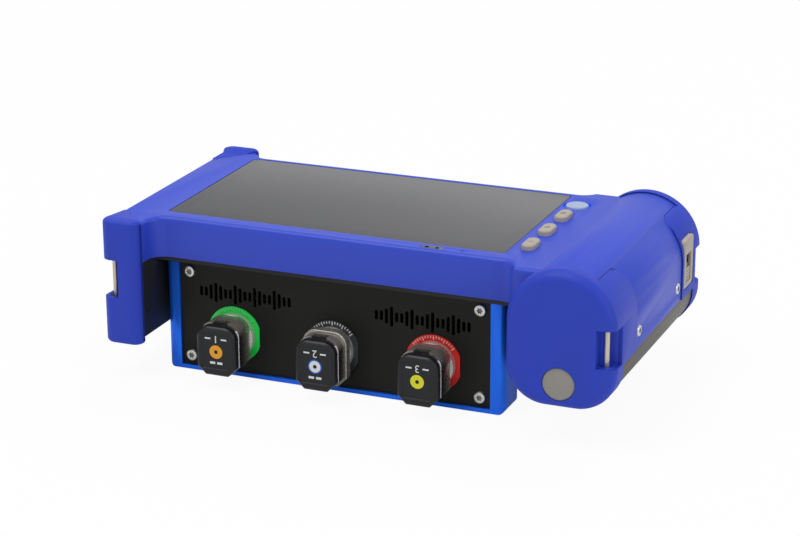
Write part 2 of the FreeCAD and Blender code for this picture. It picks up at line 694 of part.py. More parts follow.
# posts that carry the key board
KEY_BOARD_X = around("key_column", "key_width + 2 * key_lip + 2 * post_radius")
KEY_BOARD_Y = ("key_first - key_length / 2 - 2 * post_radius - key_lip",
               "power_place + power_radius + key_lip + 1")
for along in ("key_first - key_length / 2 - post_radius - key_lip", "key_first + key_pitch / 2",
              "key_first + 3 * key_pitch / 2"):
    shell.rod("z", ("key_column", along), "key_post_radius", ("key_board_top", "under_bezel + 1"))
# pocket of the charging port in the grip's outer wall
shell.block(("plate_seat - jack_length - wall", "side - grip_inset - 1"),
            around("plate_place", "plate_width + 1"),
            ("plate_low - wall / 2", "jack_level + jack_height / 2 + wall / 2"))
PLATE_WINDOW = (("plate_seat", "side + 1"), around("plate_place", "plate_width + 2 * panel_gap"),
                ("plate_low - panel_gap", "plate_high + panel_gap"))
shell.block(*PLATE_WINDOW, cut=True)
shell.block(("plate_seat - jack_length", "side + 1"), around("plate_place", "jack_width + 2 * thread_gap"),
            around("jack_level", "jack_height + 2 * thread_gap"), cut=True)
# side screws with their counterbores
for y in ("-side_screw_place", "side_screw_place"):
    shell.rod("x", (y, "side_screw_height"), "screw_radius + 2 * thread_gap", ("grip_middle", "side"),
              cut=True)
    shell.rod("x", (y, "side_screw_height"), "head_radius + 4 * thread_gap",
              ("side - grip_inset - head_height / 2", "side"), cut=True)
# bosses for the shell screws in the leg
for y in ("-slab_face / 2", "slab_face / 2"):
    shell.rod("z", ("-(leg_outer + leg_inner) / 2", y), "post_radius", ("skirt_foot", "under_bezel + 1"))
    shell.rod("z", ("-(leg_outer + leg_inner) / 2", y), "screw_radius + thread_gap",
              ("skirt_foot - 1", "under_bezel - 1"), cut=True)
front_shell = cut("front_shell", shell, *seats, notches, bar_holes)

# ----------------------------------------------------------------------------------------------------
# Rear shell: the plate over the module, the leg's box and the grip's inner wall.

rear = Piece("rear_body")
rear.block(("-leg_inner - 1", "grip_inner + grip_wall"), ("-slab_face + shadow_gap",
                                                          "slab_back - shadow_gap"),
           ("module_height", "skirt_foot"))
rear.block(("-leg_outer", "-leg_inner"), ("-shell_end", "shell_end"), ("leg_bottom", "skirt_foot"))
rear.block(("-leg_outer + wall", "-leg_inner - wall"), ("-shell_end + leg_solid_end",
                                                        "shell_end - leg_solid_end"),
           ("leg_bottom + wall", "skirt_foot + 1"), cut=True)
rear.block(("grip_inner + grip_inset", "grip_inner + grip_wall"), ("-shell_end", "shell_end"),
           ("cover_split", "skirt_foot"))
# rim that locates the front shell's sides
for y in (("-slab_face + wall + glass_gap", "-slab_face + 2 * wall"),
          ("slab_back - 2 * wall", "slab_back - wall - glass_gap")):
    rear.block(("-leg_inner + wall", "grip_inner - wall"), y, ("skirt_foot - 1", "skirt_foot + 4"))
# posts under the main board
POST_X = ("module_column - panel_width / 2 + 6", "module_column", "module_column + panel_width / 2 - 6")
POST_Y = ("-slab_face + 3 * wall + post_radius", "slab_back - 3 * wall - post_radius")
for x in POST_X:
    for y in POST_Y:
        rear.rod("z", (x, y), "post_radius", ("skirt_foot - 1", "board_height"))
# columns for the shell screws in the leg, with head recesses below
LEG_SCREWS = [("-(leg_outer + leg_inner) / 2", y) for y in ("-slab_face / 2", "slab_face / 2")]
for spot in LEG_SCREWS:
    rear.rod("z", spot, "post_radius + 1", ("leg_bottom + 1", "skirt_foot"))
    rear.rod("z", spot, "screw_radius + 2 * thread_gap", ("leg_bottom - 1", "skirt_foot + 1"), cut=True)
    rear.rod("z", spot, "head_radius + 4 * thread_gap", ("leg_bottom - 1", "leg_bottom + 2 * head_height"),
             cut=True)
rear_shell = cut("rear_shell", rear, *seats, notches, bar_holes)

shell_screws = Piece("shell_screws")
HEAD_FOOT = "leg_bottom + head_height"
for spot in LEG_SCREWS:
    shell_screws.rod("z", spot, "head_radius", (HEAD_FOOT, "leg_bottom + 2 * head_height"))
    shell_screws.rod("z", spot, "screw_radius", (HEAD_FOOT, "skirt_foot + 12"))

# ----------------------------------------------------------------------------------------------------
# Battery cover under the grip, the cells in their frames and the side screws.

cover = Piece("cover_body")
cover.prism("XZ", ("-shell_end", "shell_end"), outline(grip_section("grip_inset")))
cover.block(("grip_inner - 1", "side + 1"), ("-end", "end"), ("cover_split", "grip_top + 1"), cut=True)
cover.prism("XZ", ("-shell_end + wall", "shell_end - wall"), outline(grip_section("grip_wall")), cut=True)
for y in ("-side_screw_place", "side_screw_place"):
    span = around(y, "4 * post_radius")
    cover.block(("side - grip_wall - lug_thick", "side - grip_wall"), span,
                ("cover_split - 5", "cover_split"))
    cover.block(("side - grip_wall - lug_thick", "side - grip_wall - key_gap"), span,
                ("cover_split - 1", "side_screw_height + post_radius + 1"))
    cover.rod("x", (y, "side_screw_height"), "screw_radius + thread_gap", ("grip_middle", "side"), cut=True)
battery_cover = cut("battery_cover", cover, *seats[:2], notches, bar_holes)

grip_screws = Piece("grip_screws")
HEAD_SEAT = "side - grip_inset - head_height / 2"
for y in ("-side_screw_place", "side_screw_place"):
    spot = (y, "side_screw_height")
    grip_screws.rod("x", spot, "screw_radius", ("side - grip_wall - lug_thick",
                                                f"{HEAD_SEAT} + head_height / 4"))
    grip_screws.rod("x", spot, "head_radius", (HEAD_SEAT, f"{HEAD_SEAT} + head_height * 3 / 4"))

CELLS = [(f"grip_middle - cell_shift {s} cell_pitch / 2", z) for s in "-+" for z in ("cell_low", "cell_high")]
battery_cells = Piece("battery_cells")
for spot in CELLS:
    battery_cells.rod("y", spot, "cell_radius", ("-cell_end", "cell_end"))
    battery_cells.rod("y", spot, "cell_radius / 3", ("cell_end - 0.5", "cell_end + frame_pocket / 2"))

frame = Piece("frame_body")
FRAME_INNER = "cell_end - frame_pocket"
frame.prism("XZ", (FRAME_INNER, f"{FRAME_INNER} + frame_thick"),
            outline(grip_section("grip_wall + frame_gap")))
frame.block(("grip_inner", "side"), ("0", "end"), ("cell_high + cell_radius + 3", "grip_top"), cut=True)
frame.block(("side - grip_wall - lug_thick - frame_gap", "side"), ("0", "end"),
            ("cover_split - 5 - frame_gap", "grip_top"), cut=True)
for spot in CELLS:
    frame.rod("y", spot, "cell_radius + thread_gap", (f"{FRAME_INNER} - 1", "cell_end"), cut=True)
    frame.rod("y", spot, "cell_radius / 3 + thread_gap", ("cell_end - 1", "cell_end + frame_pocket * 2 / 3"),
              cut=True)
cell_frames = joined("cell_frames", frame, flipped("frame_rear", frame))

protection_board = Piece("protection_board")
protection_board.block(around("grip_middle - cell_shift", "cell_pitch"), ("-cell_end + 6", "cell_end - 6"),
                       ("cell_high + cell_radius", "cell_high + cell_radius + board_thick"))
protection_board.block(around("grip_middle", "cell_pitch / 2"), ("-4", "12"),
                       ("cell_high + cell_radius + board_thick - 0.2",
                        "cell_high + cell_radius + board_thick + 2.5"))

# ----------------------------------------------------------------------------------------------------
# Corner bumpers, the strap bars between their notch walls, and the end plug.


def on_front_face(edge):
    box = edge.BoundBox
    return box.YLength < 0.01 and abs(box.YMin + value("end")) < 0.01


grip_blank = Piece("grip_blank").prism("XZ", ("-end", "-(end - skirt_reach)"), outline(grip_section("0")))
grip_blank.soften("bumper_round", on_front_face)
grip_skin = cut("grip_skin", common("grip_shape", grip_blank, grip_zone), grip_core, notches)
plug_hole = Piece("plug_hole").rod("y", ("grip_middle", "plug_height"), "plug_radius + thread_gap",
                                   ("-end - 1", "-shell_end"))
plate_window = Piece("plate_window").block(*PLATE_WINDOW)
bumper_grip_front = cut("bumper_grip_front", grip_skin, plug_hole)
bumper_grip_rear = cut("bumper_grip_rear", flipped("grip_skin_rear", grip_skin), plate_window)

leg_blank = Piece("leg_blank").block(("-side", "-leg_inner"), ("-end", "-(end - leg_skirt)"),
                                     ("leg_bottom - bumper_drop", "bezel_top + bumper_proud"))
leg_blank.soften("bumper_round", lambda edge: edge.BoundBox.ZLength > 10 and on_front_face(edge))
leg_blank.soften("edge_round", lambda edge: edge.BoundBox.ZLength < 0.01
                 and not abs(edge.BoundBox.YMin + value("end - leg_skirt")) < 0.01)
bumper_leg_front = cut("bumper_leg_front", common("leg_shape", leg_blank, leg_zone), leg_core, notches)
bumper_leg_rear = flipped("bumper_leg_rear", bumper_leg_front)

end_plug = Piece("end_plug").rod("y", ("grip_middle", "plug_height"), "plug_radius",
                                 ("-end + plug_step", "-shell_end"))
end_plug.soften("plug_step", lambda edge: abs(edge.BoundBox.YMin + value("end - plug_step")) < 0.01
                and edge.BoundBox.YLength < 0.01, bevel=True)

# ----------------------------------------------------------------------------------------------------
# Glass, display, boards and keys.

touch_glass = Piece("touch_glass").prism("XY", ("glass_bed", "bezel_top"), outline(rounded(
    around("module_column", "glass_width"), around("glass_middle", "glass_depth"), "glass_round")))
lcd_panel = Piece("lcd_panel").block(around("module_column", "glass_width - 2 * ledge - 2 * lcd_gap"),
                                     around("glass_middle", "glass_depth - 2 * ledge - 2 * lcd_gap"),
                                     ("lcd_bed", "glass_bed"))
sensor_window = Piece("sensor_window").block(sensor_x, sensor_y, ("bezel_top - sensor_thick", "bezel_top"))

main_board = Piece("main_board").block(around("module_column", "panel_width"),
                                       ("-slab_face + 3 * wall", "slab_back - 3 * wall"),
                                       ("board_height", "board_height + board_thick"))
SHIELD_FOOT = "board_height + board_thick"
SHIELD_X = "module_column - port_pitch / 2"
processor_shield = Piece("processor_shield").block(
    around(SHIELD_X, "shield_width"), around("0", "shield_width"),
    (SHIELD_FOOT, f"{SHIELD_FOOT} + shield_height"))
processor_shield.block(
    around(SHIELD_X, "shield_width - 2 * shield_wall"), around("0", "shield_width - 2 * shield_wall"),
    (f"{SHIELD_FOOT} - 1", f"{SHIELD_FOOT} + shield_height - shield_wall"), cut=True)

key_board = Piece("key_board").block(KEY_BOARD_X, KEY_BOARD_Y,
                                     ("key_board_top - board_thick", "key_board_top"))


def on_top(height):
    return lambda edge: edge.BoundBox.ZLength < 0.01 and abs(edge.BoundBox.ZMin - value(height)) < 0.01


keys = []
for index, name in enumerate(KEYS):
    key = Piece(name)
    key_top = "bezel_top + key_height"
    key.prism("XY", ("under_bezel - 0.2", key_top), slot("key_column", *key_slot_ends(index, "0")))
    key.soften("key_lip / 2", on_top(key_top), bevel=True)
    key.prism("XY", ("key_bed", "under_bezel"), slot("key_column", *key_slot_ends(index, "key_lip")))
    key.rod("z", ("key_column", f"key_first + {index} * key_pitch"), "plunger_radius",
            ("key_foot", "key_bed + 0.2"))
    keys.append(key)
power_button = Piece("power_button").rod("z", POWER_SPOT, "power_radius",
                                         ("under_bezel - 0.2", "bezel_top + power_height"))
power_button.soften("power_height / 2", on_top("bezel_top + power_height"), bevel=True)
power_button.rod("z", POWER_SPOT, "power_radius + key_lip", ("key_bed", "under_bezel"))
power_button.rod("z", POWER_SPOT, "plunger_radius", ("key_foot", "key_bed + 0.2"))

# ----------------------------------------------------------------------------------------------------
# Charging port in the grip's side.

PLATE_Y = around("plate_place", "plate_width")
port_plate = Piece("port_plate").prism("YZ", ("plate_seat", "plate_face"), outline(rounded(
    PLATE_Y, ("plate_low", "plate_high"), "plate_round")))
port_plate.block(("plate_seat - 1", "plate_rear"),
                 around("plate_place", "track_width + 2 * shutter_wing + 4 * shutter_gap"),
                 ("track_low - shutter_wing - 2 * shutter_gap",
                  "track_high + shutter_wing + 2 * shutter_gap"), cut=True)
port_plate.block(("plate_seat", "plate_face + 1"), around("plate_place", "track_width"),
                 ("track_low", "track_high"), cut=True)
port_shutter = Piece("port_shutter").block(
    ("plate_rear - 0.5", "plate_face - 0.5"), around("plate_place", "track_width - 2 * shutter_gap"),
    ("track_low + shutter_gap", "track_low + shutter_gap + shutter_height"))
port_shutter.block(("plate_rear - shutter_flange", "plate_rear - thread_gap"),
                   around("plate_place", "track_width + 2 * shutter_wing"),
                   ("track_low + shutter_gap - shutter_wing",
                    "track_low + shutter_gap + shutter_height + shutter_wing"))
for rise in ("0.25", "0.5", "0.75"):
    port_shutter.block(("plate_face - 0.5 - 0.3", "plate_face"), around("plate_place", "track_width / 2"),
                       around(f"track_low + shutter_gap + {rise} * shutter_height", "0.4"), cut=True)
charging_jack = Piece("charging_jack").block(("plate_seat - jack_length", "plate_seat"),
                                             around("plate_place", "jack_width"),
                                             around("jack_level", "jack_height"))
JACK_SPOT = ("plate_place", "jack_level")
charging_jack.rod("x", JACK_SPOT, "jack_bore", ("plate_seat - jack_bore_depth", "plate_seat + 1"), cut=True)
charging_jack.rod("x", JACK_SPOT, "jack_pin", ("plate_seat - jack_bore_depth - 1", "plate_seat - 1"))

# ----------------------------------------------------------------------------------------------------
# Measuring module. Its pieces are drawn about the module's own middle.

MODULE = "module_column"
TRAY_X = ("-module_width / 2", "module_width / 2")
TRAY_Y = ("tray_front", "module_rear")


def step_in(piece, top):
    """Cuts the finger room beside the grip out of a tray or lid, behind its full-width front."""
    piece.block(("box_side", "module_width / 2 + 1"), ("frame_rear", "module_rear + 1"), ("-1", top),
                cut=True)


def tray_edge(edge):
    """The tray's long lower edges and the upright outer edges of its front frame."""
    box = edge.BoundBox
    lower = box.YLength > value("frame_depth") / 2 and abs(box.ZMax) < 0.01
    upright = box.ZLength > value("tray_top") / 2 and abs(box.YMin - value("tray_front")) < 0.01
    return lower or upright


module_tray = Piece("module_tray", MODULE)
module_tray.block(TRAY_X, TRAY_Y, ("0", "tray_top"))
step_in(module_tray, "tray_top + 1")
module_tray.soften("tray_corner", tray_edge)
module_tray.block(("-tray_inner - panel_gap", "box_inner"), ("tray_front - 1", "module_rear + 1"),
                  ("tray_floor", "tray_top + 1"), cut=True)
module_tray.block(("0", "tray_inner + panel_gap"), ("tray_front - 1", "frame_rear - box_wall"),
                  ("tray_floor", "tray_top + 1"), cut=True)
PANEL_SCREWS = [(x, z) for x in ("-screw_column", "screw_column") for z in ("screw_low", "screw_high")]
BACK_SCREWS = [(x, z) for x in ("-screw_column", "rear_column") for z in ("screw_low", "screw_high")]
BACK_PANEL = ("module_rear - panel_thick - tray_lip", "module_rear - tray_lip")
BOSSES = ((PANEL_SCREWS, "tray_inner", ("panel_back", "panel_back + screw_length + 1")),
          (BACK_SCREWS, "box_inner", (f"{BACK_PANEL[0]} - screw_length - 1", BACK_PANEL[0])))
for spots, right_wall, boss_y in BOSSES:
    for x, z in spots:
        boss_x = ("-tray_inner - 1", f"{x} + head_radius")
        if not x.startswith("-"):
            boss_x = (f"{x} - head_radius", f"{right_wall} + 1")
        module_tray.block(boss_x, boss_y, around(z, "2 * head_radius"))
        module_tray.rod("y", (x, z), "screw_radius + thread_gap", boss_y, cut=True)
module_lid = Piece("module_lid", MODULE).block(TRAY_X, TRAY_Y, ("tray_top", "module_height"))
step_in(module_lid, "module_height + 1")

PORTS = (("otdr", "-port_pitch"), ("power", "0"), ("laser", "port_pitch"))


def end_panel(name, right, span, spots):
    panel = Piece(name, MODULE)
    panel.block(("-tray_inner", right), span, ("tray_floor", "tray_top"))
    for spot in spots:
        panel.rod("y", spot, "screw_radius + 2 * thread_gap", (f"{span[0]} - 1", f"{span[1]} + 1"), cut=True)
    return panel


module_panel = end_panel("module_panel", "tray_inner", ("panel_front", "panel_back"), PANEL_SCREWS)
for _, column in PORTS:
    module_panel.rod("y", (column, "port_height"), "spigot_radius + thread_gap",
                     ("panel_front - 1", "panel_back + 1"),
                     cut=True)
VENT_STEPS = (0, 0, 1, 2, 1, 0, 0, 2, 1, 0, 0, 2, 1, 0, 0, 2, 1, 0, 0)
vents = []
for index, steps in enumerate(VENT_STEPS):
    place = f"-vent_middle + ({index - len(VENT_STEPS) // 2}) * vent_pitch"
    half = f"(vent_short + {steps} * vent_step - vent_width) / 2"
    vents.append(slot(place, f"vent_height - {half}", f"vent_height + {half}", "vent_width"))
module_panel.prism("XZ", ("panel_front - 1", "panel_back + 1"), *vents, cut=True)
module_panel.mirrored("YZ")
module_back = end_panel("module_back", "box_inner", BACK_PANEL, BACK_SCREWS)

panel_screws = Piece("panel_screws", MODULE)
for spot in PANEL_SCREWS:
    panel_screws.rod("y", spot, "screw_radius", ("panel_front - head_height / 2",
                                                 "panel_front + screw_length"))
    panel_screws.rod("y", spot, "head_radius", ("panel_front - head_height", "panel_front"))
for spot in BACK_SCREWS:
    panel_screws.rod("y", spot, "screw_radius", (f"{BACK_PANEL[1]} - screw_length",
                                                 f"{BACK_PANEL[1]} + head_height / 2"))
    panel_screws.rod("y", spot, "head_radius", (BACK_PANEL[1], f"{BACK_PANEL[1]} + head_height"))

# ----------------------------------------------------------------------------------------------------
# Optical ports: label ring, adapter body, nut, barrel, sleeve, flip cover and hinge pin.


def port_outline(column, top, grow="0"):
    """Front view of an adapter: a flat top between round corners, flat sides and bevelled lower corners."""
    half = f"(body_half + ({grow}))"
    crown = f"port_height + {top} + ({grow})"
    low = f"port_height - body_drop - ({grow})"
    left, right = f"({column}) - {half}", f"({column}) + {half}"
    return [(f"{left} + body_chamfer", low), (f"{right} - body_chamfer", low),
            (right, f"{low} + body_chamfer"),
            (right, f"{crown} - crown_round"), bend("crown_round"), (f"{right} - crown_round", crown),
            (f"{left} + crown_round", crown), bend("crown_round"), (left, f"{crown} - crown_round"),
            (left, f"{low} + body_chamfer")]


def nut_outline(column):
    """A hexagon with two corners level with the port centre."""
    middle, far = f"({column})", "nut_radius"
    rise = f"{far} * sqrt(3) / 2"
    return [(f"{middle} + {far}", "port_height"), (f"{middle} + {far} / 2", f"port_height + {rise}"),
            (f"{middle} - {far} / 2", f"port_height + {rise}"), (f"{middle} - {far}", "port_height"),
            (f"{middle} - {far} / 2", f"port_height - {rise}"),
            (f"{middle} + {far} / 2", f"port_height - {rise}")]


rings, adapters, flaps = [], [], []
nuts = Piece("adapter_nuts", MODULE)
barrels = Piece("fc_barrels", MODULE)
sleeves = Piece("ferrule_sleeves", MODULE)
pins = Piece("hinge_pins", MODULE)
laser_barrel = Piece("laser_barrel", MODULE)
for name, column in PORTS:
    centre = (column, "port_height")
    ring = Piece(f"ring_{name}", MODULE)
    ring.rod("y", centre, "ring_radius", ("ring_front", "panel_front"))
    for side in ("-", "+"):
        flat = sorted((f"{column} {side} ring_flat", f"{column} {side} 2 * ring_radius"), key=value)
        ring.block(flat, ("ring_front - 1", "panel_front + 1"), ("0", "2 * port_height"), cut=True)
    ring.rod("y", centre, "spigot_radius + thread_gap", ("ring_front - 1", "panel_front + 1"), cut=True)
    rings.append(ring)

    body = Piece(f"adapter_{name}", MODULE)
    body.rod("y", centre, "flange_radius", ("body_rear", "ring_front"))
    body.prism("XZ", ("body_front", "body_rear"), outline(port_outline(column, "body_top")))
    if name == "power":
        body.prism("XZ", ("body_rear - collar_length", "body_rear"),
                   outline(port_outline(column, "body_top", "collar_step")))
    body.rod("y", centre, "spigot_radius", ("ring_front - 1", "spigot_end"))
    body.rod("y", centre, "socket_radius", ("body_front - 1", "socket_floor"), cut=True)
    body.rod("y", centre, "barrel_collar + thread_gap", ("socket_floor - 1", "spigot_end + 1"), cut=True)
    body.block(around(column, "2 * (lug_half + lug_gap)"), ("body_front - 1", "body_front + hinge_room"),
               ("hinge_height - lug_radius - lug_gap", "port_height + 2 * body_top"), cut=True)
    body.block(around(column, "3 * body_half"), ("body_front - 1", "body_front + swing_room"),
               ("hinge_height - swing_room", "port_height + 2 * body_top"), cut=True)
    body.rod("x", ("hinge_place", "hinge_height"), "hinge_radius + thread_gap",
             (f"{column} - hinge_half", f"{column} + hinge_half"), cut=True)
    adapters.append(body)

    nuts.prism("XZ", ("panel_back", "panel_back + nut_thick"), outline(nut_outline(column)))
    nuts.rod("y", centre, "spigot_radius + thread_gap", ("panel_back - 1", "panel_back + nut_thick + 1"),
             cut=True)

    barrel = laser_barrel if name == "laser" else barrels
    barrel.rod("y", centre, "barrel_radius", ("socket_floor - barrel_length", "spigot_end"))
    barrel.rod("y", centre, "barrel_collar", ("socket_floor", "spigot_end"))
    barrel.rod("y", centre, "sleeve_radius + thread_gap",
               ("socket_floor - barrel_length - 1", "socket_floor"),
               cut=True)
    if name != "laser":
        barrel.block(around(column, "key_slot"), ("socket_floor - barrel_length - 1",
                                                  "socket_floor - barrel_length / 2"),
                     ("port_height", "port_height + 2 * barrel_radius"), cut=True)
    sleeves.rod("y", centre, "sleeve_radius", ("socket_floor - sleeve_length", "socket_floor"))
    sleeves.rod("y", centre, "sleeve_bore", ("socket_floor - sleeve_length - 1", "socket_floor + 1"),
                cut=True)

    flap = Piece(f"flap_{name}", MODULE)
    flap.prism("XZ", ("flap_front + flap_bevel", "flap_back"), outline(port_outline(column, "flap_top")))
    flap.prism("XZ", ("flap_front", "flap_front + flap_bevel"), outline(port_outline(column, "flap_top")),
               taper=-BEVEL_ANGLE)
    label = rounded(around(column, "2 * (body_half - label_rim)"),
                    ("port_height - body_drop + label_rim + flap_bevel", "hinge_height - label_rim / 2"),
                    "label_rim / 2")
    flap.prism("XZ", ("flap_front - 1", "flap_front + label_depth"), outline(label), cut=True)
    lug_x = (f"{column} - lug_half", f"{column} + lug_half")
    flap.block(lug_x, ("flap_back - 1", "hinge_place"), around("hinge_height", "2 * lug_radius"))
    flap.rod("x", ("hinge_place", "hinge_height"), "lug_radius", lug_x)
    flap.rod("x", ("hinge_place", "hinge_height"), "hinge_radius + hinge_gap",
             (f"{column} - hinge_half", f"{column} + hinge_half"), cut=True)
    flaps.append(flap)
    pins.rod("x", ("hinge_place", "hinge_height"), "hinge_radius",
             (f"{column} - hinge_half", f"{column} + hinge_half"))

# ----------------------------------------------------------------------------------------------------
# Inside the module: the optics board on its posts, and what stands on it behind each port.

OPTICS_X = ("-tray_inner + 3 * screw_inset", "box_inner - optics_gap")
POST_SPOTS = [(x, y) for x in (f"{OPTICS_X[0]} + 2 * post_radius", f"{OPTICS_X[1]} - 2 * post_radius")
              for y in ("panel_back + 5 * wall", "module_rear - 8 * wall")]
optics_board = Piece("optics_board", MODULE).block(OPTICS_X,
                                                   ("spigot_end + optics_gap", "module_rear - 5 * wall"),
                                                   ("optics_foot", "optics_top"))
board_posts = Piece("board_posts", MODULE)
for spot in POST_SPOTS:
    board_posts.rod("z", spot, "post_radius", ("tray_floor", "optics_foot"))
optics_block = Piece("optics_block", MODULE).block(
    around("-port_pitch", "optics_width"), ("spigot_end", "spigot_end + optics_length"),
    ("optics_top", "port_height + optics_rise"))
for step in range(5):
    start = f"spigot_end + ({step} + 0.75) * fin_pitch"
    optics_block.block(around("-port_pitch", "optics_width + 2"), (start, f"{start} + fin_width"),
                       ("port_height + optics_rise - fin_depth", "port_height + optics_rise + 1"), cut=True)
photodiode_can = Piece("photodiode_can", MODULE)
photodiode_can.rod("y", ("0", "port_height"), "can_radius", ("spigot_end", "spigot_end + can_length"))
photodiode_can.block(around("0", "1.5 * can_radius"), ("spigot_end", "spigot_end + can_length"),
                     ("optics_top", "port_height"))
laser_tube = Piece("laser_tube", MODULE)
laser_tube.rod("y", ("port_pitch", "port_height"), "tube_radius", ("spigot_end", "spigot_end + tube_length"))
laser_tube.block(around("port_pitch", "1.5 * tube_radius"),
                 ("spigot_end + saddle", "spigot_end + tube_length - saddle"), ("optics_top", "port_height"))
fibre_spool = Piece("fibre_spool", MODULE)
SPOOL = ("port_pitch / 2", "module_rear - spool_place")
fibre_spool.rod("z", SPOOL, "spool_radius", ("optics_top", "optics_top + spool_flange"))
fibre_spool.rod("z", SPOOL, "spool_core", ("optics_top", "optics_top + spool_height"))
fibre_spool.rod("z", SPOOL, "spool_radius", ("optics_top + spool_height - spool_flange",
                                             "optics_top + spool_height"))
fibre_spool.rod("z", SPOOL, "spool_bore", ("optics_top - 1", "optics_top + spool_height + 1"), cut=True)

NODES = [front_shell, rear_shell, battery_cover, bumper_leg_front, bumper_leg_rear, bumper_grip_front,
         bumper_grip_rear, strap_bars, end_plug, touch_glass, lcd_panel, sensor_window, main_board,
         processor_shield,
         key_board, *keys, power_button, port_plate, port_shutter, charging_jack, grip_screws, shell_screws,
         battery_cells, cell_frames, protection_board, module_tray, module_lid, module_panel, module_back,
         panel_screws,
         *rings, *adapters, nuts, barrels, laser_barrel, sleeves, *flaps, pins, optics_board, board_posts,
         optics_block,
         photodiode_can, laser_tube, fibre_spool]

doc.recompute()
failed = [item.Name for item in doc.Objects if {"Invalid", "Error"} & set(item.State)]
if failed:
    raise RuntimeError("these objects did not build: " + ", ".join(failed))
os.makedirs("parts", exist_ok=True)
for node in NODES:
    solid = solid_of(node)
    if solid.Shape.isNull() or not solid.Shape.isValid() or not solid.Shape.Solids:
        raise RuntimeError(solid.Label + " has no valid shape")
    solid.Shape.exportStep(f"parts/{solid.Label}.step")
    box = solid.Shape.BoundBox
    print(f"{solid.Label:20s} solids {len(solid.Shape.Solids)}  volume {solid.Shape.Volume:10.1f}  "
          f"x {box.XMin:7.1f} {box.XMax:7.1f}  y {box.YMin:7.1f} {box.YMax:7.1f}  z {box.ZMin:6.1f} {box.ZMax:6.1f}")
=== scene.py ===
import math

import bmesh
import bpy
from bpy.props import FloatProperty, FloatVectorProperty, PointerProperty
from mathutils import Matrix, Vector


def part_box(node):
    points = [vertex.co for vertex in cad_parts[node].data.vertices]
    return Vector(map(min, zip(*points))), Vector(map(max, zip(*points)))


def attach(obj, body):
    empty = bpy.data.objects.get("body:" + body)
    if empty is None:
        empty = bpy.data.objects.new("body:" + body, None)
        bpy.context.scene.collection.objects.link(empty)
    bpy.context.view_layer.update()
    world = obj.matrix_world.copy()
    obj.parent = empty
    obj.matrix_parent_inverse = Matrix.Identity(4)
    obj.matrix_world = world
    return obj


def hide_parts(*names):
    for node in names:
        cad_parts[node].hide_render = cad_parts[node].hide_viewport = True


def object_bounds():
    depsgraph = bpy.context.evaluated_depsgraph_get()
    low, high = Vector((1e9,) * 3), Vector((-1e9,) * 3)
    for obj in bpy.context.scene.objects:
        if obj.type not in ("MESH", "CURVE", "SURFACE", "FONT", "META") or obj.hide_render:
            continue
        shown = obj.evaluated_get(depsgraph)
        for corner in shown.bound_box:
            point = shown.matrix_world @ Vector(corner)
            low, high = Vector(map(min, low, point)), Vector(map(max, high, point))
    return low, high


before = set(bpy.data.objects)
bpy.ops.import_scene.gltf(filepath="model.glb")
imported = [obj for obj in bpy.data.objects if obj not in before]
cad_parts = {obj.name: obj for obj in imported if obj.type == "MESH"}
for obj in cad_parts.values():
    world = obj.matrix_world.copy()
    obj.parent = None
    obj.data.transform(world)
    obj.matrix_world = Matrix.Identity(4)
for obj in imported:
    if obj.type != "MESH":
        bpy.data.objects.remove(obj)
CAD_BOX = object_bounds()

bl_info = {
    "name": "Handheld fibre tester",
    "version": (1, 0, 0),
    "blender": (4, 5, 0),
    "location": "3D View > Sidebar > Fibre tester",
    "description": "Dresses a handheld optical time domain reflectometer and its studio",
    "category": "Object",
}

MAIN_BODY = "instrument"
MM = 0.001

# The leg's top lies above this height and falls outwards by this share of the width
LEG_TOP = 66 * MM
LEAN = 0.03
# A leg bumper stands this far proud of the leg
PROUD = 0.9 * MM
# The tray: how deep its front frame is, its sheet, and the notch beside its front for the fingers; they
# bound the painted shade inside the tray
TRAY_FRAME = 2.5 * MM
TRAY_FLOOR = 0.8 * MM
TRAY_WALL = 1.0 * MM
NOTCH_DEPTH = 15.8 * MM
NOTCH_WIDTH = 24 * MM
# The printed floor of a flip cover lies this far behind its rim
CAP_SINK = 0.5 * MM
# The outer ends of the ticks on a label ring
TICK_REACH = 12.9 * MM
SHANK = 1.5 * MM
CAMERA_TARGET = (14.4, -40.3, 62.0)
WHITE = (1, 1, 1, 1)


# --------------------------------------------------------------------------------------------------
# Sizes and colours that a user would change


def tint(name, description, colour):
    """A colour that the sidebar shows."""
    return FloatVectorProperty(name=name, description=description, subtype="COLOR", size=3, min=0, max=1,
                               default=colour)


def length(name, description, default):
    """A length in metres that the sidebar shows."""
    return FloatProperty(name=name, description=description, unit="LENGTH", subtype="DISTANCE", min=0,
                         default=default, precision=5)


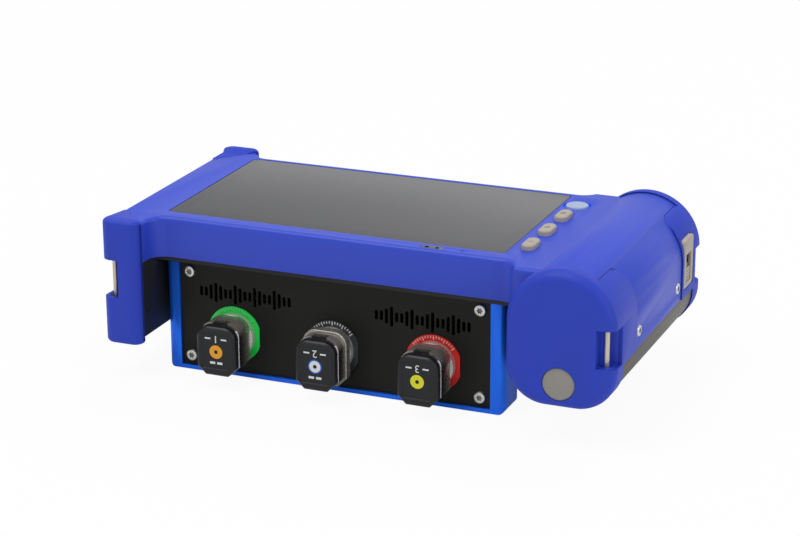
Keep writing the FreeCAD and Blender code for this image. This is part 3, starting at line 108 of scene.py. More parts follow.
class TesterColours(bpy.types.PropertyGroup):
    """Colours of the mouldings, the metalwork and the prints."""
    shell: tint("Shell", "Moulded front shell", (0.030, 0.066, 0.57))
    bumper: tint("Bumpers", "Corner bumpers", (0.020, 0.050, 0.50))
    tray: tint("Module tray", "Painted tray of the measuring module", (0.011, 0.165, 1.0))
    panel: tint("Port panel", "Anodised panel behind the ports", (0.0078, 0.0080, 0.0055))
    dark: tint("Dark mouldings", "Rear shell", (0.011, 0.011, 0.012))
    cover: tint("Battery cover", "Battery cover under the grip", (0.115, 0.105, 0.092))
    keys: tint("Keys", "Keys, port plate and end plug", (0.42, 0.375, 0.315))
    power: tint("Power button", "Round button", (0.36, 0.43, 0.60))
    glass: tint("Glass", "Touch glass", (0.088, 0.089, 0.096))
    metal: tint("Bright metal", "Adapter flanges, edges and barrels", (0.70, 0.68, 0.62))
    dark_metal: tint("Dark metal", "Polished sides of the adapters", (0.27, 0.25, 0.22))
    steel: tint("Steel", "Screws", (0.66, 0.65, 0.62))
    caps: tint("Flip covers", "Flip covers of the ports", (0.0085, 0.0092, 0.011))
    ring_green: tint("Reflectometer ring", "Label ring of the first port", (0.010, 0.72, 0.09))
    ring_slate: tint("Power meter ring", "Label ring of the second port", (0.03, 0.034, 0.04))
    ring_red: tint("Light source ring", "Label ring of the third port", (0.74, 0.016, 0.012))
    print_white: tint("White print", "Printed marks", (0.78, 0.79, 0.80))
    print_green: tint("Green print", "Ticks on the green ring", (0.16, 0.72, 0.22))
    print_cream: tint("Cream print", "Ticks on the red ring", (0.86, 0.52, 0.42))
    print_amber: tint("Amber print", "Printed spot", (0.84, 0.36, 0.01))
    print_yellow: tint("Yellow print", "Printed spot", (0.78, 0.74, 0.01))
    print_blue: tint("Blue print", "Printed rim", (0.01, 0.13, 0.62))


class TesterSizes(bpy.types.PropertyGroup):
    """Finishing sizes and the camera."""
    edge: length("Edge", "Soft edge on the mouldings", 0.35 * MM)
    fine_edge: length("Fine edge", "Soft edge on metalwork", 0.12 * MM)
    grain: length("Grain", "Pitch of the moulded texture", 0.45 * MM)
    print_thickness: length("Print", "Thickness of the printed marks", 0.03 * MM)
    numeral: length("Numeral", "Height of the numerals on the flip covers", 3.5 * MM)
    head: length("Screw head", "Radius of the screw heads", 2.8 * MM)
    head_height: length("Screw head height", "Height of the panel screws' heads", 1.7 * MM)
    first_stage: length("First stage", "Length of the power meter adapter's slim front stage", 6.5 * MM)
    flange: length("Flange", "From an adapter's front to its flange", 11.5 * MM)
    recess: length("Screw recess", "Radius of the six-lobed recess", 1.35 * MM)
    camera_distance: length("Camera distance", "From the camera to what it looks at", 1.07)
    camera_azimuth: FloatProperty(name="Azimuth", default=22.62,
                                  description="Camera's turn from the front towards the grip, in degrees")
    camera_elevation: FloatProperty(name="Elevation", description="Camera's height angle, in degrees",
                                    default=18.92)
    camera_roll: FloatProperty(name="Roll", description="Camera's roll, in degrees", default=-0.27)
    camera_lens: FloatProperty(name="Lens", description="Focal length in mm, for a frame 36 mm wide",
                               default=109.6)


# --------------------------------------------------------------------------------------------------
# Materials


class Sum:
    """A shader value that Python's operators build on."""

    def __init__(self, tree, socket):
        self.tree = tree
        self.socket = socket

    def maths(self, operation, left, right):
        """The value of a Math node on two values."""
        node = self.tree.nodes.new("ShaderNodeMath")
        node.operation = operation
        for slot, item in zip(node.inputs, (left, right)):
            feed(self.tree, slot, item)
        return Sum(self.tree, node.outputs[0])

    def __add__(self, other):
        return self.maths("ADD", self, other)

    def __radd__(self, other):
        return self.maths("ADD", other, self)

    def __sub__(self, other):
        return self.maths("SUBTRACT", self, other)

    def __rsub__(self, other):
        return self.maths("SUBTRACT", other, self)

    def __mul__(self, other):
        return self.maths("MULTIPLY", self, other)

    def __rmul__(self, other):
        return self.maths("MULTIPLY", other, self)

    def __truediv__(self, other):
        return self.maths("DIVIDE", self, other)

    def __rtruediv__(self, other):
        return self.maths("DIVIDE", other, self)

    def __lt__(self, other):
        return self.maths("LESS_THAN", self, other)

    def __gt__(self, other):
        return self.maths("GREATER_THAN", self, other)

    def __pow__(self, other):
        return self.maths("POWER", self, other)

    def __rpow__(self, other):
        return self.maths("POWER", other, self)


def feed(tree, slot, item):
    """Links a shader value or a socket to a slot, or writes a plain value into it."""
    source = item.socket if isinstance(item, Sum) else item
    if isinstance(source, bpy.types.NodeSocket):
        tree.links.new(source, slot)
    else:
        slot.default_value = source


class Nodes:
    """The node tree of a material or a world."""

    def __init__(self, tree):
        self.tree = tree

    def node(self, kind, settings=None, **sockets):
        """Any node: its settings first, then the values or links of its sockets, by name or as _index."""
        node = self.tree.nodes.new(kind)
        for key, item in (settings or {}).items():
            setattr(node, key, item)
        for key, item in sockets.items():
            slot = node.inputs[int(key[1:])] if key[0] == "_" else node.inputs[key.replace("_", " ")]
            feed(self.tree, slot, item)
        return node

    def rays(self, path, kind):
        """One if a ray is of a kind, by a Light Path node."""
        return Sum(self.tree, path.outputs[f"Is {kind} Ray"])


class Finish(Nodes):
    """One procedural material under construction."""

    def __init__(self, name):
        self.material = bpy.data.materials.new(name)
        self.material.use_nodes = True
        super().__init__(self.material.node_tree)
        self.shader = self.tree.nodes["Principled BSDF"]
        self.place = self.node("ShaderNodeTexCoord").outputs["Object"]

    def noise(self, pitch, detail=2.0, rough=0.5, stretch=(1, 1, 1)):
        """Noise with a grain of a given pitch in metres, from 0 to 1."""
        where = self.node("ShaderNodeMapping", Vector=self.place, Scale=[s / pitch for s in stretch])
        node = self.node("ShaderNodeTexNoise", Vector=where.outputs[0], Scale=1.0, Detail=detail,
                         Roughness=rough)
        return Sum(self.tree, node.outputs["Fac"])

    def axis(self, name):
        """A point's place along one axis."""
        return Sum(self.tree, self.node("ShaderNodeSeparateXYZ", _0=self.place).outputs[name.upper()])

    def mix(self, mask, first, second):
        """The first colour where the mask is 0, the second where it is 1."""
        node = self.node("ShaderNodeMix", {"data_type": "RGBA"}, Factor=mask, _6=first, _7=second)
        return node.outputs[2]

    def set(self, **sockets):
        """Feeds the sockets of the surface shader."""
        for key, item in sockets.items():
            feed(self.tree, self.shader.inputs[key.replace("_", " ")], item)
        return self

    def bump(self, height, depth):
        """Roughens the surface by a height from 0 to 1, scaled by a depth."""
        node = self.node("ShaderNodeBump", Height=height, Distance=depth, Strength=1.0)
        return self.set(Normal=node.outputs[0])


def rgba(colour, gain=1.0):
    """A colour with its alpha, brightened or dimmed."""
    return (min(colour[0] * gain, 1), min(colour[1] * gain, 1), min(colour[2] * gain, 1), 1)


def moulded(name, colour, grain, roughness, depth=0.02 * MM, shine=0.35, dish_highlight=None):
    """Textured moulded plastic: a fine spark grain, cloudy gloss and a slight drift of tone. A dish
    highlight is a round spot painted in a brighter colour, a painted highlight where the dish round a
    button lies in shade; it is given as its centre, radius and colour."""
    finish = Finish(name)
    cloud = finish.noise(0.03, 3)
    speck = finish.noise(grain, 2, 0.6)
    tone = finish.mix(cloud * 0.6 + speck * 0.4, rgba(colour, 0.93), rgba(colour, 1.07))
    if dish_highlight:
        centre, radius, glow = dish_highlight
        x = finish.axis("x") - centre.x
        y = finish.axis("y") - centre.y
        painted_light_mask = (x * x + y * y < radius * radius) * (finish.axis("z") > centre.z)
        # Painted highlight: the spot over the dish is painted a brighter colour
        tone = finish.mix(painted_light_mask, tone, rgba(glow))
    finish.set(Base_Color=tone, Roughness=cloud * 0.08 + speck * 0.05 + (roughness - 0.065),
               Specular_IOR_Level=shine)
    return finish.bump(speck, depth).material


def paint_grain(finish):
    """The fine sparkle and the slow drift of a sprayed coat."""
    return finish.noise(0.2 * MM, 2, 0.7), finish.noise(0.04, 2)


def painted(name, colour, roughness, shine=0.5):
    """Painted or anodised sheet with a fine sparkle."""
    finish = Finish(name)
    speck, cloud = paint_grain(finish)
    finish.set(Base_Color=finish.mix(speck * 0.5 + cloud * 0.5, rgba(colour, 0.9), rgba(colour, 1.1)),
               Roughness=speck * 0.1 + cloud * 0.06 + (roughness - 0.08), Specular_IOR_Level=shine)
    return finish.bump(speck, 0.008 * MM).material


def tray_paint(name, colour):
    """Painted sheet outside; inside the case it is painted near black, a painted shade where the vents look
    in.
    """
    finish = Finish(name)
    speck, cloud = paint_grain(finish)
    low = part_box("module_tray")[0]
    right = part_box("module_back")[1].x + TRAY_WALL
    # The mask of the inside, which gets painted shade: behind the front frame, above the floor, inside the
    # walls and left of the notch
    across = finish.axis("x") - (finish.axis("y") < low.y + NOTCH_DEPTH) * NOTCH_WIDTH
    painted_light_mask = (finish.axis("y") > low.y + TRAY_FRAME) * (finish.axis("z") > TRAY_FLOOR)
    painted_light_mask = painted_light_mask * (finish.axis("x") > low.x + TRAY_WALL) * (across < right)
    paint = finish.mix(speck * 0.5 + cloud * 0.5, rgba(colour, 0.9), rgba(colour, 1.1))
    finish.set(Base_Color=finish.mix(painted_light_mask, paint, (0.008, 0.008, 0.009, 1)),
               Roughness=speck * 0.1 + cloud * 0.06 + 0.3, Metallic=0.6)
    return finish.bump(speck, 0.008 * MM).material


def bright(name, colour, roughness, stretch=(1, 40, 1)):
    """Turned or ground metal, with fine lines round it."""
    finish = Finish(name)
    lines = finish.noise(6 * MM, 3, 0.6, stretch)
    smear = finish.noise(2 * MM, 3)
    finish.set(Base_Color=finish.mix(smear, rgba(colour, 0.9), rgba(colour, 1.05)), Metallic=1.0,
               Roughness=lines * 0.12 + smear * 0.05 + (roughness - 0.085))
    return finish.bump(lines, 0.004 * MM).material


def adapter_metal(name, colours, stages, height):
    """Polished adapter with painted reflections: a crown painted lighter with streaks, sides painted dark
    that pale towards the flange, and painted highlights on the front edges. The stages are its front, each
    step behind it and its flange, and the height is its middle's."""
    finish = Finish(name)
    along = finish.axis("y")
    streaks = finish.noise(12 * MM, 1, 0.5, (1, 0.3, 4))
    rings = finish.noise(4 * MM, 2, 0.5, (0.4, 8, 0.4))
    first, last = stages[0], stages[-1]
    flange = along > last - 0.02 * MM
    # The front edge and a band behind each step get a painted highlight: near white and less metallic
    edge = along < first + 0.7 * MM
    for front in stages[1:]:
        edge = edge + (along > front + 0.03 * MM) * (along < front + 1.1 * MM)
    # Painted reflection: the sides run from near black at the front to pale at the flange, and the crown
    # above the middle is painted lighter with streaks
    depth = ((along - first) / (last - first)) ** 2.0
    crown_highlight = (finish.axis("z") - (height + 4.5 * MM)) / (2.5 * MM)
    side = finish.mix(depth, rgba(colours.dark_metal, 0.05), rgba(colours.dark_metal, 1.9))
    top = finish.mix(streaks, rgba(colours.dark_metal, 0.8), rgba(colours.dark_metal, 1.4))
    pale = finish.mix(rings, rgba(colours.metal, 0.7), rgba(colours.metal, 1.0))
    plain = finish.mix(flange, finish.mix(crown_highlight, side, top), pale)
    finish.set(Base_Color=finish.mix(edge, plain, (0.94, 0.93, 0.90, 1)),
               Metallic=0.62 - edge * 0.3 - flange * 0.3,
               Roughness=flange * 0.15 + streaks * 0.06 + 0.24)
    return finish.bump(streaks, 0.0005 * MM).material


def printed(name, colour):
    """Screen-printed ink, very slightly uneven."""
    finish = Finish(name)
    speck = finish.noise(0.12 * MM, 2, 0.6)
    finish.set(Base_Color=finish.mix(speck, rgba(colour, 0.92), rgba(colour, 1.04)),
               Roughness=speck * 0.1 + 0.4)
    return finish.bump(speck, 0.004 * MM).material


def touch_glass(name, colour):
    """Dark bonded glass: black border, slightly paler active area, faint finger smears."""
    finish = Finish(name)
    low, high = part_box("lcd_panel")
    smear = finish.noise(0.035, 4, 0.6, (1, 2.5, 1))
    margin = 2 * MM
    active = 1.0
    for axis, index in (("x", 0), ("y", 1)):
        along = finish.axis(axis)
        active = (along > low[index] + margin) * (along < high[index] - margin) * active
    finish.set(Base_Color=finish.mix(active, rgba(colour, 0.94), rgba(colour, 1.0)),
               Roughness=smear * 0.05 + 0.17, IOR=1.5, Specular_IOR_Level=0.3)
    return finish.material


def circuit(name):
    """Solder-masked board with copper tracks showing faintly."""
    finish = Finish(name)
    tracks = finish.node("ShaderNodeTexVoronoi", {"feature": "DISTANCE_TO_EDGE", "distance": "MANHATTAN"},
                         Vector=finish.place, Scale=320.0)
    mask = Sum(finish.tree, tracks.outputs["Distance"]) < 0.06
    finish.set(Base_Color=finish.mix(mask, (0.010, 0.10, 0.035, 1), (0.02, 0.19, 0.07, 1)),
               Roughness=mask * 0.1 + 0.3)
    return finish.bump(mask, 0.02 * MM).material


def wrapped(name):
    """Shrink-wrapped cell with a printed band."""
    finish = Finish(name)
    along = finish.axis("y")
    band = (along > 18 * MM) * (along < 24 * MM)
    wrinkle = finish.noise(4 * MM, 3, 0.5, (1, 0.3, 1))
    finish.set(Base_Color=finish.mix(band, (0.02, 0.16, 0.21, 1), (0.5, 0.5, 0.5, 1)),
               Roughness=wrinkle * 0.15 + 0.25)
    return finish.bump(wrinkle, 0.05 * MM).material


MATERIALS = {}


def port_height():
    """The height of the three ports' middles."""
    low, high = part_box("fc_barrels")
    return (low.z + high.z) / 2


def make_materials():
    """Fills the table of materials."""
    colours = bpy.context.scene.tester_colours
    sizes = bpy.context.scene.tester_sizes
    grain = sizes.grain
    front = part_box("adapter_power")[0].y
    flange = front + sizes.flange
    low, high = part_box("power_button")
    MATERIALS.update({
        # The shell carries a brighter blue spot round the power button: a painted highlight in its dish
        "shell": moulded("shell_plastic", colours.shell, grain, 0.42,
                         dish_highlight=((low + high) / 2, 7.0 * MM, (0.008, 0.10, 0.85))),
        "bumper": moulded("bumper_elastomer", colours.bumper, grain, 0.52, 0.03 * MM, 0.3),
        # A darker copy of the bumper colour: painted shade along the bumpers' seams
        "painted_seam_shade": moulded("bumper_painted_seam_shade", rgba(colours.bumper, 0.5), grain, 0.6, 0.01 * MM, 0.2),
        "dark": moulded("rear_plastic", colours.dark, grain, 0.5),
        "cover": moulded("cover_plastic", colours.cover, grain, 0.5),
        "keys": moulded("key_rubber", colours.keys, grain, 0.5, 0.01 * MM),
        "plug": moulded("plug_rubber", (0.30, 0.285, 0.255), grain, 0.5, 0.01 * MM),
        "power": moulded("power_button_plastic", colours.power, grain, 0.36, 0.005 * MM),
        "tray": tray_paint("tray_paint", colours.tray),
        "panel": painted("panel_anodising", colours.panel, 0.5, 0.22),
        "glass": touch_glass("touch_glass", colours.glass),
        "metal": bright("adapter_nickel", colours.metal, 0.20),
        "adapter": adapter_metal("adapter_body", colours, (front, flange), port_height()),
        "adapter_power": adapter_metal("adapter_body_power", colours,
                                       (front, front + sizes.first_stage, flange), port_height()),
        "steel": bright("screw_steel", colours.steel, 0.34, (8, 8, 8)),
        "bar": bright("bar_steel", (0.60, 0.55, 0.46), 0.42, (8, 8, 1)),
        "recess": painted("recess_shadow", (0.22, 0.215, 0.195), 0.5),
        "key_ink": printed("key_ink", (0.32, 0.28, 0.235)),
        "caps": moulded("flip_cover_plastic", colours.caps, grain / 2, 0.42, 0.008 * MM),
        "ring_green": printed("ring_green", colours.ring_green),
        "ring_slate": printed("ring_slate", colours.ring_slate),
        "ring_red": printed("ring_red", colours.ring_red),
        "white": printed("white_ink", colours.print_white),
        "green_ink": printed("green_ink", colours.print_green),
        "cream": printed("cream_ink", colours.print_cream),
        "amber": printed("amber_ink", colours.print_amber),
        "yellow": printed("yellow_ink", colours.print_yellow),
        "blue": printed("blue_ink", colours.print_blue),
        "display": painted("display_black", (0.006, 0.006, 0.007), 0.3),
        "window": painted("window_tint", (0.07, 0.07, 0.08), 0.2),
        "board": circuit("circuit_board"),
        "cells": wrapped("cell_wrap"),
        "brass": bright("turned_brass", (0.60, 0.44, 0.18), 0.3),
        "aluminium": bright("machined_aluminium", (0.66, 0.67, 0.68), 0.34, (1, 1, 40)),
        "ceramic": moulded("ceramic", (0.80, 0.79, 0.74), grain / 3, 0.25, 0.002 * MM),
        "spool": moulded("spool_plastic", (0.70, 0.70, 0.68), grain, 0.45),
    })


# --------------------------------------------------------------------------------------------------
# Making pieces


def finish_piece(shape, name, material, body, edge=0.0, sharp=30.0, stands_for=()):
    """Turns a bmesh into a riding piece with its material and softened edges."""
    mesh = bpy.data.meshes.new(name)
    shape.to_mesh(mesh)
    shape.free()
    mesh.materials.append(MATERIALS[material])
    mesh.shade_smooth()
    piece = bpy.data.objects.new(name, mesh)
    bpy.context.scene.collection.objects.link(piece)
    if edge:
        soften = piece.modifiers.new("soft_edges", "BEVEL")
        soften.limit_method = "ANGLE"
        soften.angle_limit = math.radians(sharp)
        soften.width = edge
        soften.segments = 2
        soften.use_clamp_overlap = True
        soften.harden_normals = True
    else:
        mesh.set_sharp_from_angle(angle=math.radians(sharp))
    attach(piece, body)
    if stands_for:
        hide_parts(*stands_for)
    return piece


def dressed(node, material, edge, body=MAIN_BODY, shaped=None):
    """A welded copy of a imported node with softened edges, which stands in for it."""
    shape = bmesh.new()
    shape.from_mesh(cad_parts[node].data)
    bmesh.ops.remove_doubles(shape, verts=shape.verts, dist=2e-6)
    bmesh.ops.dissolve_limit(shape, angle_limit=math.radians(0.2), verts=shape.verts, edges=shape.edges)
    if shaped:
        shaped(shape)
    return finish_piece(shape, node + "_dressed", material, body, edge, stands_for=(node,))


def lean_leg(shape):
    """Lets the leg's top fall away a little towards its outer side."""
    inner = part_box("bumper_leg_front")[1].x
    for point in shape.verts:
        if point.co.z > LEG_TOP and point.co.x < inner:
            point.co.z -= (inner - point.co.x) * LEAN


def settle(shape, node, first, last):
    """Brings a leg bumper flush with the leg where it meets it, from all of it at first to none at last."""
    low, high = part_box(node)
    for cut in (first, last):
        bmesh.ops.bisect_plane(shape, geom=shape.verts[:] + shape.edges[:] + shape.faces[:],
                               plane_co=(0, cut, 0), plane_no=(0, 1, 0))
    for point in shape.verts:
        share = min(max((last - point.co.y) / (last - first), 0.0), 1.0)
        if point.co.z > LEG_TOP:
            point.co.z -= (PROUD + (high.x - point.co.x) * LEAN) * share
        if point.co.x < low.x + 1.5 * MM:
            point.co.x += PROUD * share


def settle_front(shape):
    """The front leg bumper, flush at its rear edge."""
    low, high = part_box("bumper_leg_front")
    settle(shape, "bumper_leg_front", high.y, low.y + 6 * MM)


def settle_rear(shape):
    """The rear leg bumper, flush up to a hump at its end."""
    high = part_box("bumper_leg_rear")[1]
    settle(shape, "bumper_leg_rear", high.y - 8.5 * MM, high.y - 5 * MM)


def shade_steps(piece, *inward):
    """Gives the steps of a bumper that face the given ways a darker copy of the bumper colour, a painted
    shade along the seam.
    """
    piece.data.materials.append(MATERIALS["painted_seam_shade"])
    for face in piece.data.polygons:
        if any(face.normal.dot(way) > 0.95 for way in inward):
            face.material_index = 1


def repaint(node, material):
    """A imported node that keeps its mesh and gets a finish."""
    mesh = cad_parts[node].data
    mesh.materials.clear()
    mesh.materials.append(MATERIALS[material])


def disc(centre, radius, thickness):
    """A thin printed disc that faces the front."""
    shape = bmesh.new()
    bmesh.ops.create_cone(shape, cap_ends=True, segments=48, radius1=radius, radius2=radius,
                          depth=thickness,
                          matrix=Matrix.Translation(centre) @ Matrix.Rotation(math.pi / 2, 4, "X"))
    return shape


def hoop(centre, inner, outer, thickness):
    """A thin printed ring that faces the front, spun from its section."""
    shape = bmesh.new()
    corners = [shape.verts.new(centre + Vector((x, y, 0)))
               for x, y in ((inner, -thickness / 2), (outer, -thickness / 2), (outer, thickness / 2),
                            (inner, thickness / 2))]
    edges = [shape.edges.new((corners[i], corners[(i + 1) % 4])) for i in range(4)]
    bmesh.ops.spin(shape, geom=corners + edges, cent=centre, axis=(0, 1, 0), angle=2 * math.pi, steps=64,
                   use_merge=True)
    bmesh.ops.remove_doubles(shape, verts=shape.verts, dist=1e-7)
    bmesh.ops.recalc_face_normals(shape, faces=shape.faces)
    return shape


def bar(centre, size, turn=0.0):
    """A thin printed bar, turned about the front-to-back axis."""
    shape = bmesh.new()
    bmesh.ops.create_cube(shape, size=1.0,
                          matrix=Matrix.Translation(centre) @ Matrix.Rotation(turn, 4, "Y")
                          @ Matrix.Diagonal((*size, 1)))
    return shape


def gathered(shapes):
    """Several small shapes in one bmesh."""
    whole = bmesh.new()
    for shape in shapes:
        mesh = bpy.data.meshes.new("part")
        shape.to_mesh(mesh)
        shape.free()
        whole.from_mesh(mesh)
        bpy.data.meshes.remove(mesh)
    return whole


def numeral(text, height, thickness, place):
    """A plain printed numeral, put where a matrix says. A digit is 0.7 of its font's size high."""
    curve = bpy.data.curves.new("numeral", "FONT")
    curve.body = text
    curve.size = height / 0.7
    curve.extrude = thickness / 2
    curve.align_x = "CENTER"
    curve.align_y = "CENTER"
    writing = bpy.data.objects.new("numeral", curve)
    bpy.context.scene.collection.objects.link(writing)
    mesh = bpy.data.meshes.new_from_object(writing)
    shape = bmesh.new()
    shape.from_mesh(mesh)
    bmesh.ops.transform(shape, matrix=place, verts=shape.verts)
    bmesh.ops.remove_doubles(shape, verts=shape.verts, dist=1e-7)
    bmesh.ops.recalc_face_normals(shape, faces=shape.faces)
    bpy.data.objects.remove(writing)
    bpy.data.curves.remove(curve)
    bpy.data.meshes.remove(mesh)
    return shape


def facing(spot, out):
    """The matrix that sets a piece made along Z on a spot, with its top facing a given way."""
    return Matrix.Translation(spot) @ Vector(out).to_track_quat("Z", "Y").to_matrix().to_4x4()


def lobed(shape, recess):
    """Draws the rings of a recess into six lobes."""
    for point in shape.verts:
        reach = math.hypot(point.co.x, point.co.y)
        if 1e-6 < reach < recess * 1.05:
            lobe = 0.90 + 0.15 * math.cos(6 * math.atan2(point.co.y, point.co.x))
            point.co.x *= lobe
            point.co.y *= lobe


def screw_head(spot, out, radius, height, recess):
    """A rounded pan head with a six-lobed recess, spun about the way it faces."""
    shape = bmesh.new()
    section = ((0.0, height * 0.45), (recess, height * 0.45), (recess, height * 0.93),
               (recess * 1.12, height), (radius * 0.62, height), (radius * 0.88, height * 0.82),
               (radius, height * 0.45), (radius, 0.0), (0.0, 0.0))
    points = [shape.verts.new((x, 0, z)) for x, z in section]
    edges = [shape.edges.new(pair) for pair in zip(points, points[1:])]
    bmesh.ops.spin(shape, geom=points + edges, cent=(0, 0, 0), axis=(0, 0, 1), angle=2 * math.pi, steps=48,
                   use_merge=True)
    bmesh.ops.remove_doubles(shape, verts=shape.verts, dist=1e-7)
    lobed(shape, recess)
    bmesh.ops.recalc_face_normals(shape, faces=shape.faces)
    bmesh.ops.transform(shape, matrix=facing(spot, out), verts=shape.verts)
    return shape


def recess_floor(spot, out, height, recess, thickness):
    """The shadowed floor of a six-lobed recess."""
    shape = bmesh.new()
    bmesh.ops.create_cone(shape, cap_ends=True, segments=48, radius1=recess * 0.99, radius2=recess * 0.99,
                          depth=thickness)
    lobed(shape, recess)
    lift = Matrix.Translation((0, 0, height + thickness / 2))
    bmesh.ops.transform(shape, matrix=facing(spot, out) @ lift, verts=shape.verts)
    return shape


def shank(spot, out, radius, span):
    """A screw's shank behind its head."""
    shape = bmesh.new()
    bmesh.ops.create_cone(shape, cap_ends=True, segments=24, radius1=radius * 0.8, radius2=radius,
                          depth=span, matrix=facing(spot, out) @ Matrix.Translation((0, 0, -span / 2)))
    return shape


def inset(box, margin):
    """A node's box drawn in by a margin on every side."""
    low, high = box
    step = Vector((margin, margin, margin))
    return low + step, high - step


def screws(node, spots, sizes, height, span):
    """Every screw of one node: heads with recesses on plain shanks."""
    shapes = []
    floors = []
    for spot, out in spots:
        shapes.append(screw_head(spot, out, sizes.head, height, sizes.recess))
        shapes.append(shank(spot, out, SHANK, span))
        floors.append(recess_floor(spot, out, height * 0.45, sizes.recess, sizes.print_thickness))
    finish_piece(gathered(floors), node + "_recesses", "recess", MAIN_BODY, sharp=35.0)
    finish_piece(gathered(shapes), node + "_dressed", "steel", MAIN_BODY, sharp=35.0,
                 stands_for=(node,))


# --------------------------------------------------------------------------------------------------
# Operators


class TesterOperator:
    """What every operator here shares."""
    bl_options = {"REGISTER", "UNDO"}

    def execute(self, context):
        self.make(context.scene.tester_sizes)
        return {"FINISHED"}


class TESTER_OT_finishes(TesterOperator, bpy.types.Operator):
    """Makes every material"""
    bl_idname = "tester.finishes"
    bl_label = "Finishes"

    def make(self, sizes):
        make_materials()


class TESTER_OT_casework(TesterOperator, bpy.types.Operator):
    """Dresses the front shell, the rear shell, the battery cover and the bumpers"""
    bl_idname = "tester.casework"
    bl_label = "Casework"

    def make(self, sizes):
        dressed("front_shell", "shell", sizes.edge, shaped=lean_leg)
        dressed("rear_shell", "dark", sizes.edge)
        dressed("battery_cover", "cover", sizes.edge)
        right, back, ahead = Vector((1, 0, 0)), Vector((0, 1, 0)), Vector((0, -1, 0))
        for node, shaped, inward in (("bumper_leg_front", settle_front, (right, back)),
                                     ("bumper_leg_rear", settle_rear, (right, ahead)),
                                     ("bumper_grip_front", None, (back,)),
                                     ("bumper_grip_rear", None, (ahead,))):
            shade_steps(dressed(node, "bumper", sizes.edge, shaped=shaped), *inward)
        dressed("end_plug", "plug", sizes.fine_edge)
        dressed("strap_bars", "bar", sizes.fine_edge)


class TESTER_OT_screen(TesterOperator, bpy.types.Operator):
    """Dresses the touch glass, the display and the sensor window"""
    bl_idname = "tester.screen"
    bl_label = "Screen"

    def make(self, sizes):
        dressed("touch_glass", "glass", sizes.edge)
        repaint("lcd_panel", "display")
        dressed("sensor_window", "window", sizes.fine_edge)
        low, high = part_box("sensor_window")
        middle = (low + high) / 2
        radius = 0.95 * MM
        for side in (-1, 1):
            shape = bmesh.new()
            spot = Vector((middle.x + side * 2.4 * MM, middle.y, high.z - sizes.print_thickness / 2))
            bmesh.ops.create_cone(shape, cap_ends=True, segments=24, radius1=radius, radius2=radius,
                                  depth=sizes.print_thickness, matrix=Matrix.Translation(spot))
            finish_piece(shape, f"sensor_eye_{side + 1}", "white", MAIN_BODY)


class TESTER_OT_keys(TesterOperator, bpy.types.Operator):
    """Dresses the keys and the power button"""
    bl_idname = "tester.keys"
    bl_label = "Keys"

    def make(self, sizes):
        for count, node in enumerate(("key_lower", "key_middle", "key_upper")):
            dressed(node, "keys", sizes.fine_edge, node + "_body")
            low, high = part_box(node)
            top = high.z - sizes.print_thickness / 2
            centre = Vector(((low.x + high.x) / 2, (low.y + high.y) / 2, top))
            pitch = 1.1 * MM
            marks = []
            for row in range(count + 1):
                spot = centre + Vector((0, (row - count / 2) * pitch, 0))
                marks.append(bar(spot, (2.6 * MM, 0.4 * MM, sizes.print_thickness)))
            finish_piece(gathered(marks), node + "_marks", "key_ink", node + "_body")
        dressed("power_button", "power", sizes.fine_edge, "power_body")


class TESTER_OT_charging(TesterOperator, bpy.types.Operator):
    """Dresses the charging port and its shutter"""
    bl_idname = "tester.charging"
    bl_label = "Charging port"

    def make(self, sizes):
        dressed("port_plate", "keys", sizes.edge)
        dressed("port_shutter", "keys", sizes.fine_edge, "shutter_body")
        repaint("charging_jack", "caps")


class TESTER_OT_module(TesterOperator, bpy.types.Operator):
    """Dresses the measuring module's tray, lid, panels and screws"""
    bl_idname = "tester.module"
    bl_label = "Measuring module"

    def make(self, sizes):
        dressed("module_tray", "tray", sizes.edge)
        dressed("module_lid", "tray", sizes.fine_edge)
        dressed("module_panel", "panel", 0.0)
        dressed("module_back", "panel", 0.0)
        self.panel_screws(sizes)
        self.shell_screws(sizes)

    def panel_screws(self, sizes):
        """Four screws in the port panel and four in the back panel."""
        low, high = inset(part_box("panel_screws"), sizes.head)
        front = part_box("module_panel")[0].y
        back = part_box("module_back")[1]
        spots = [((x, front, z), (0, -1, 0)) for x in (low.x, high.x) for z in (low.z, high.z)]
        spots += [((x, back.y, z), (0, 1, 0)) for x in (low.x, back.x - 5 * MM) for z in (low.z, high.z)]
        screws("panel_screws", spots, sizes, sizes.head_height, 8 * MM)

    def shell_screws(self, sizes):
        """Two screws in the side of the grip and two up through the leg."""
        low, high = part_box("grip_screws")
        inner, outer = inset((low, high), sizes.head)
        height = sizes.head_height * 0.75
        face = high.x - height
        spots = [((face, y, (low.z + high.z) / 2), (1, 0, 0)) for y in (inner.y, outer.y)]
        screws("grip_screws", spots, sizes, height, face - low.x)
        low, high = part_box("shell_screws")
        inner, outer = inset((low, high), sizes.head)
        face = low.z + sizes.head_height
        spots = [(((low.x + high.x) / 2, y, face), (0, 0, -1)) for y in (inner.y, outer.y)]
        screws("shell_screws", spots, sizes, sizes.head_height, high.z - face)


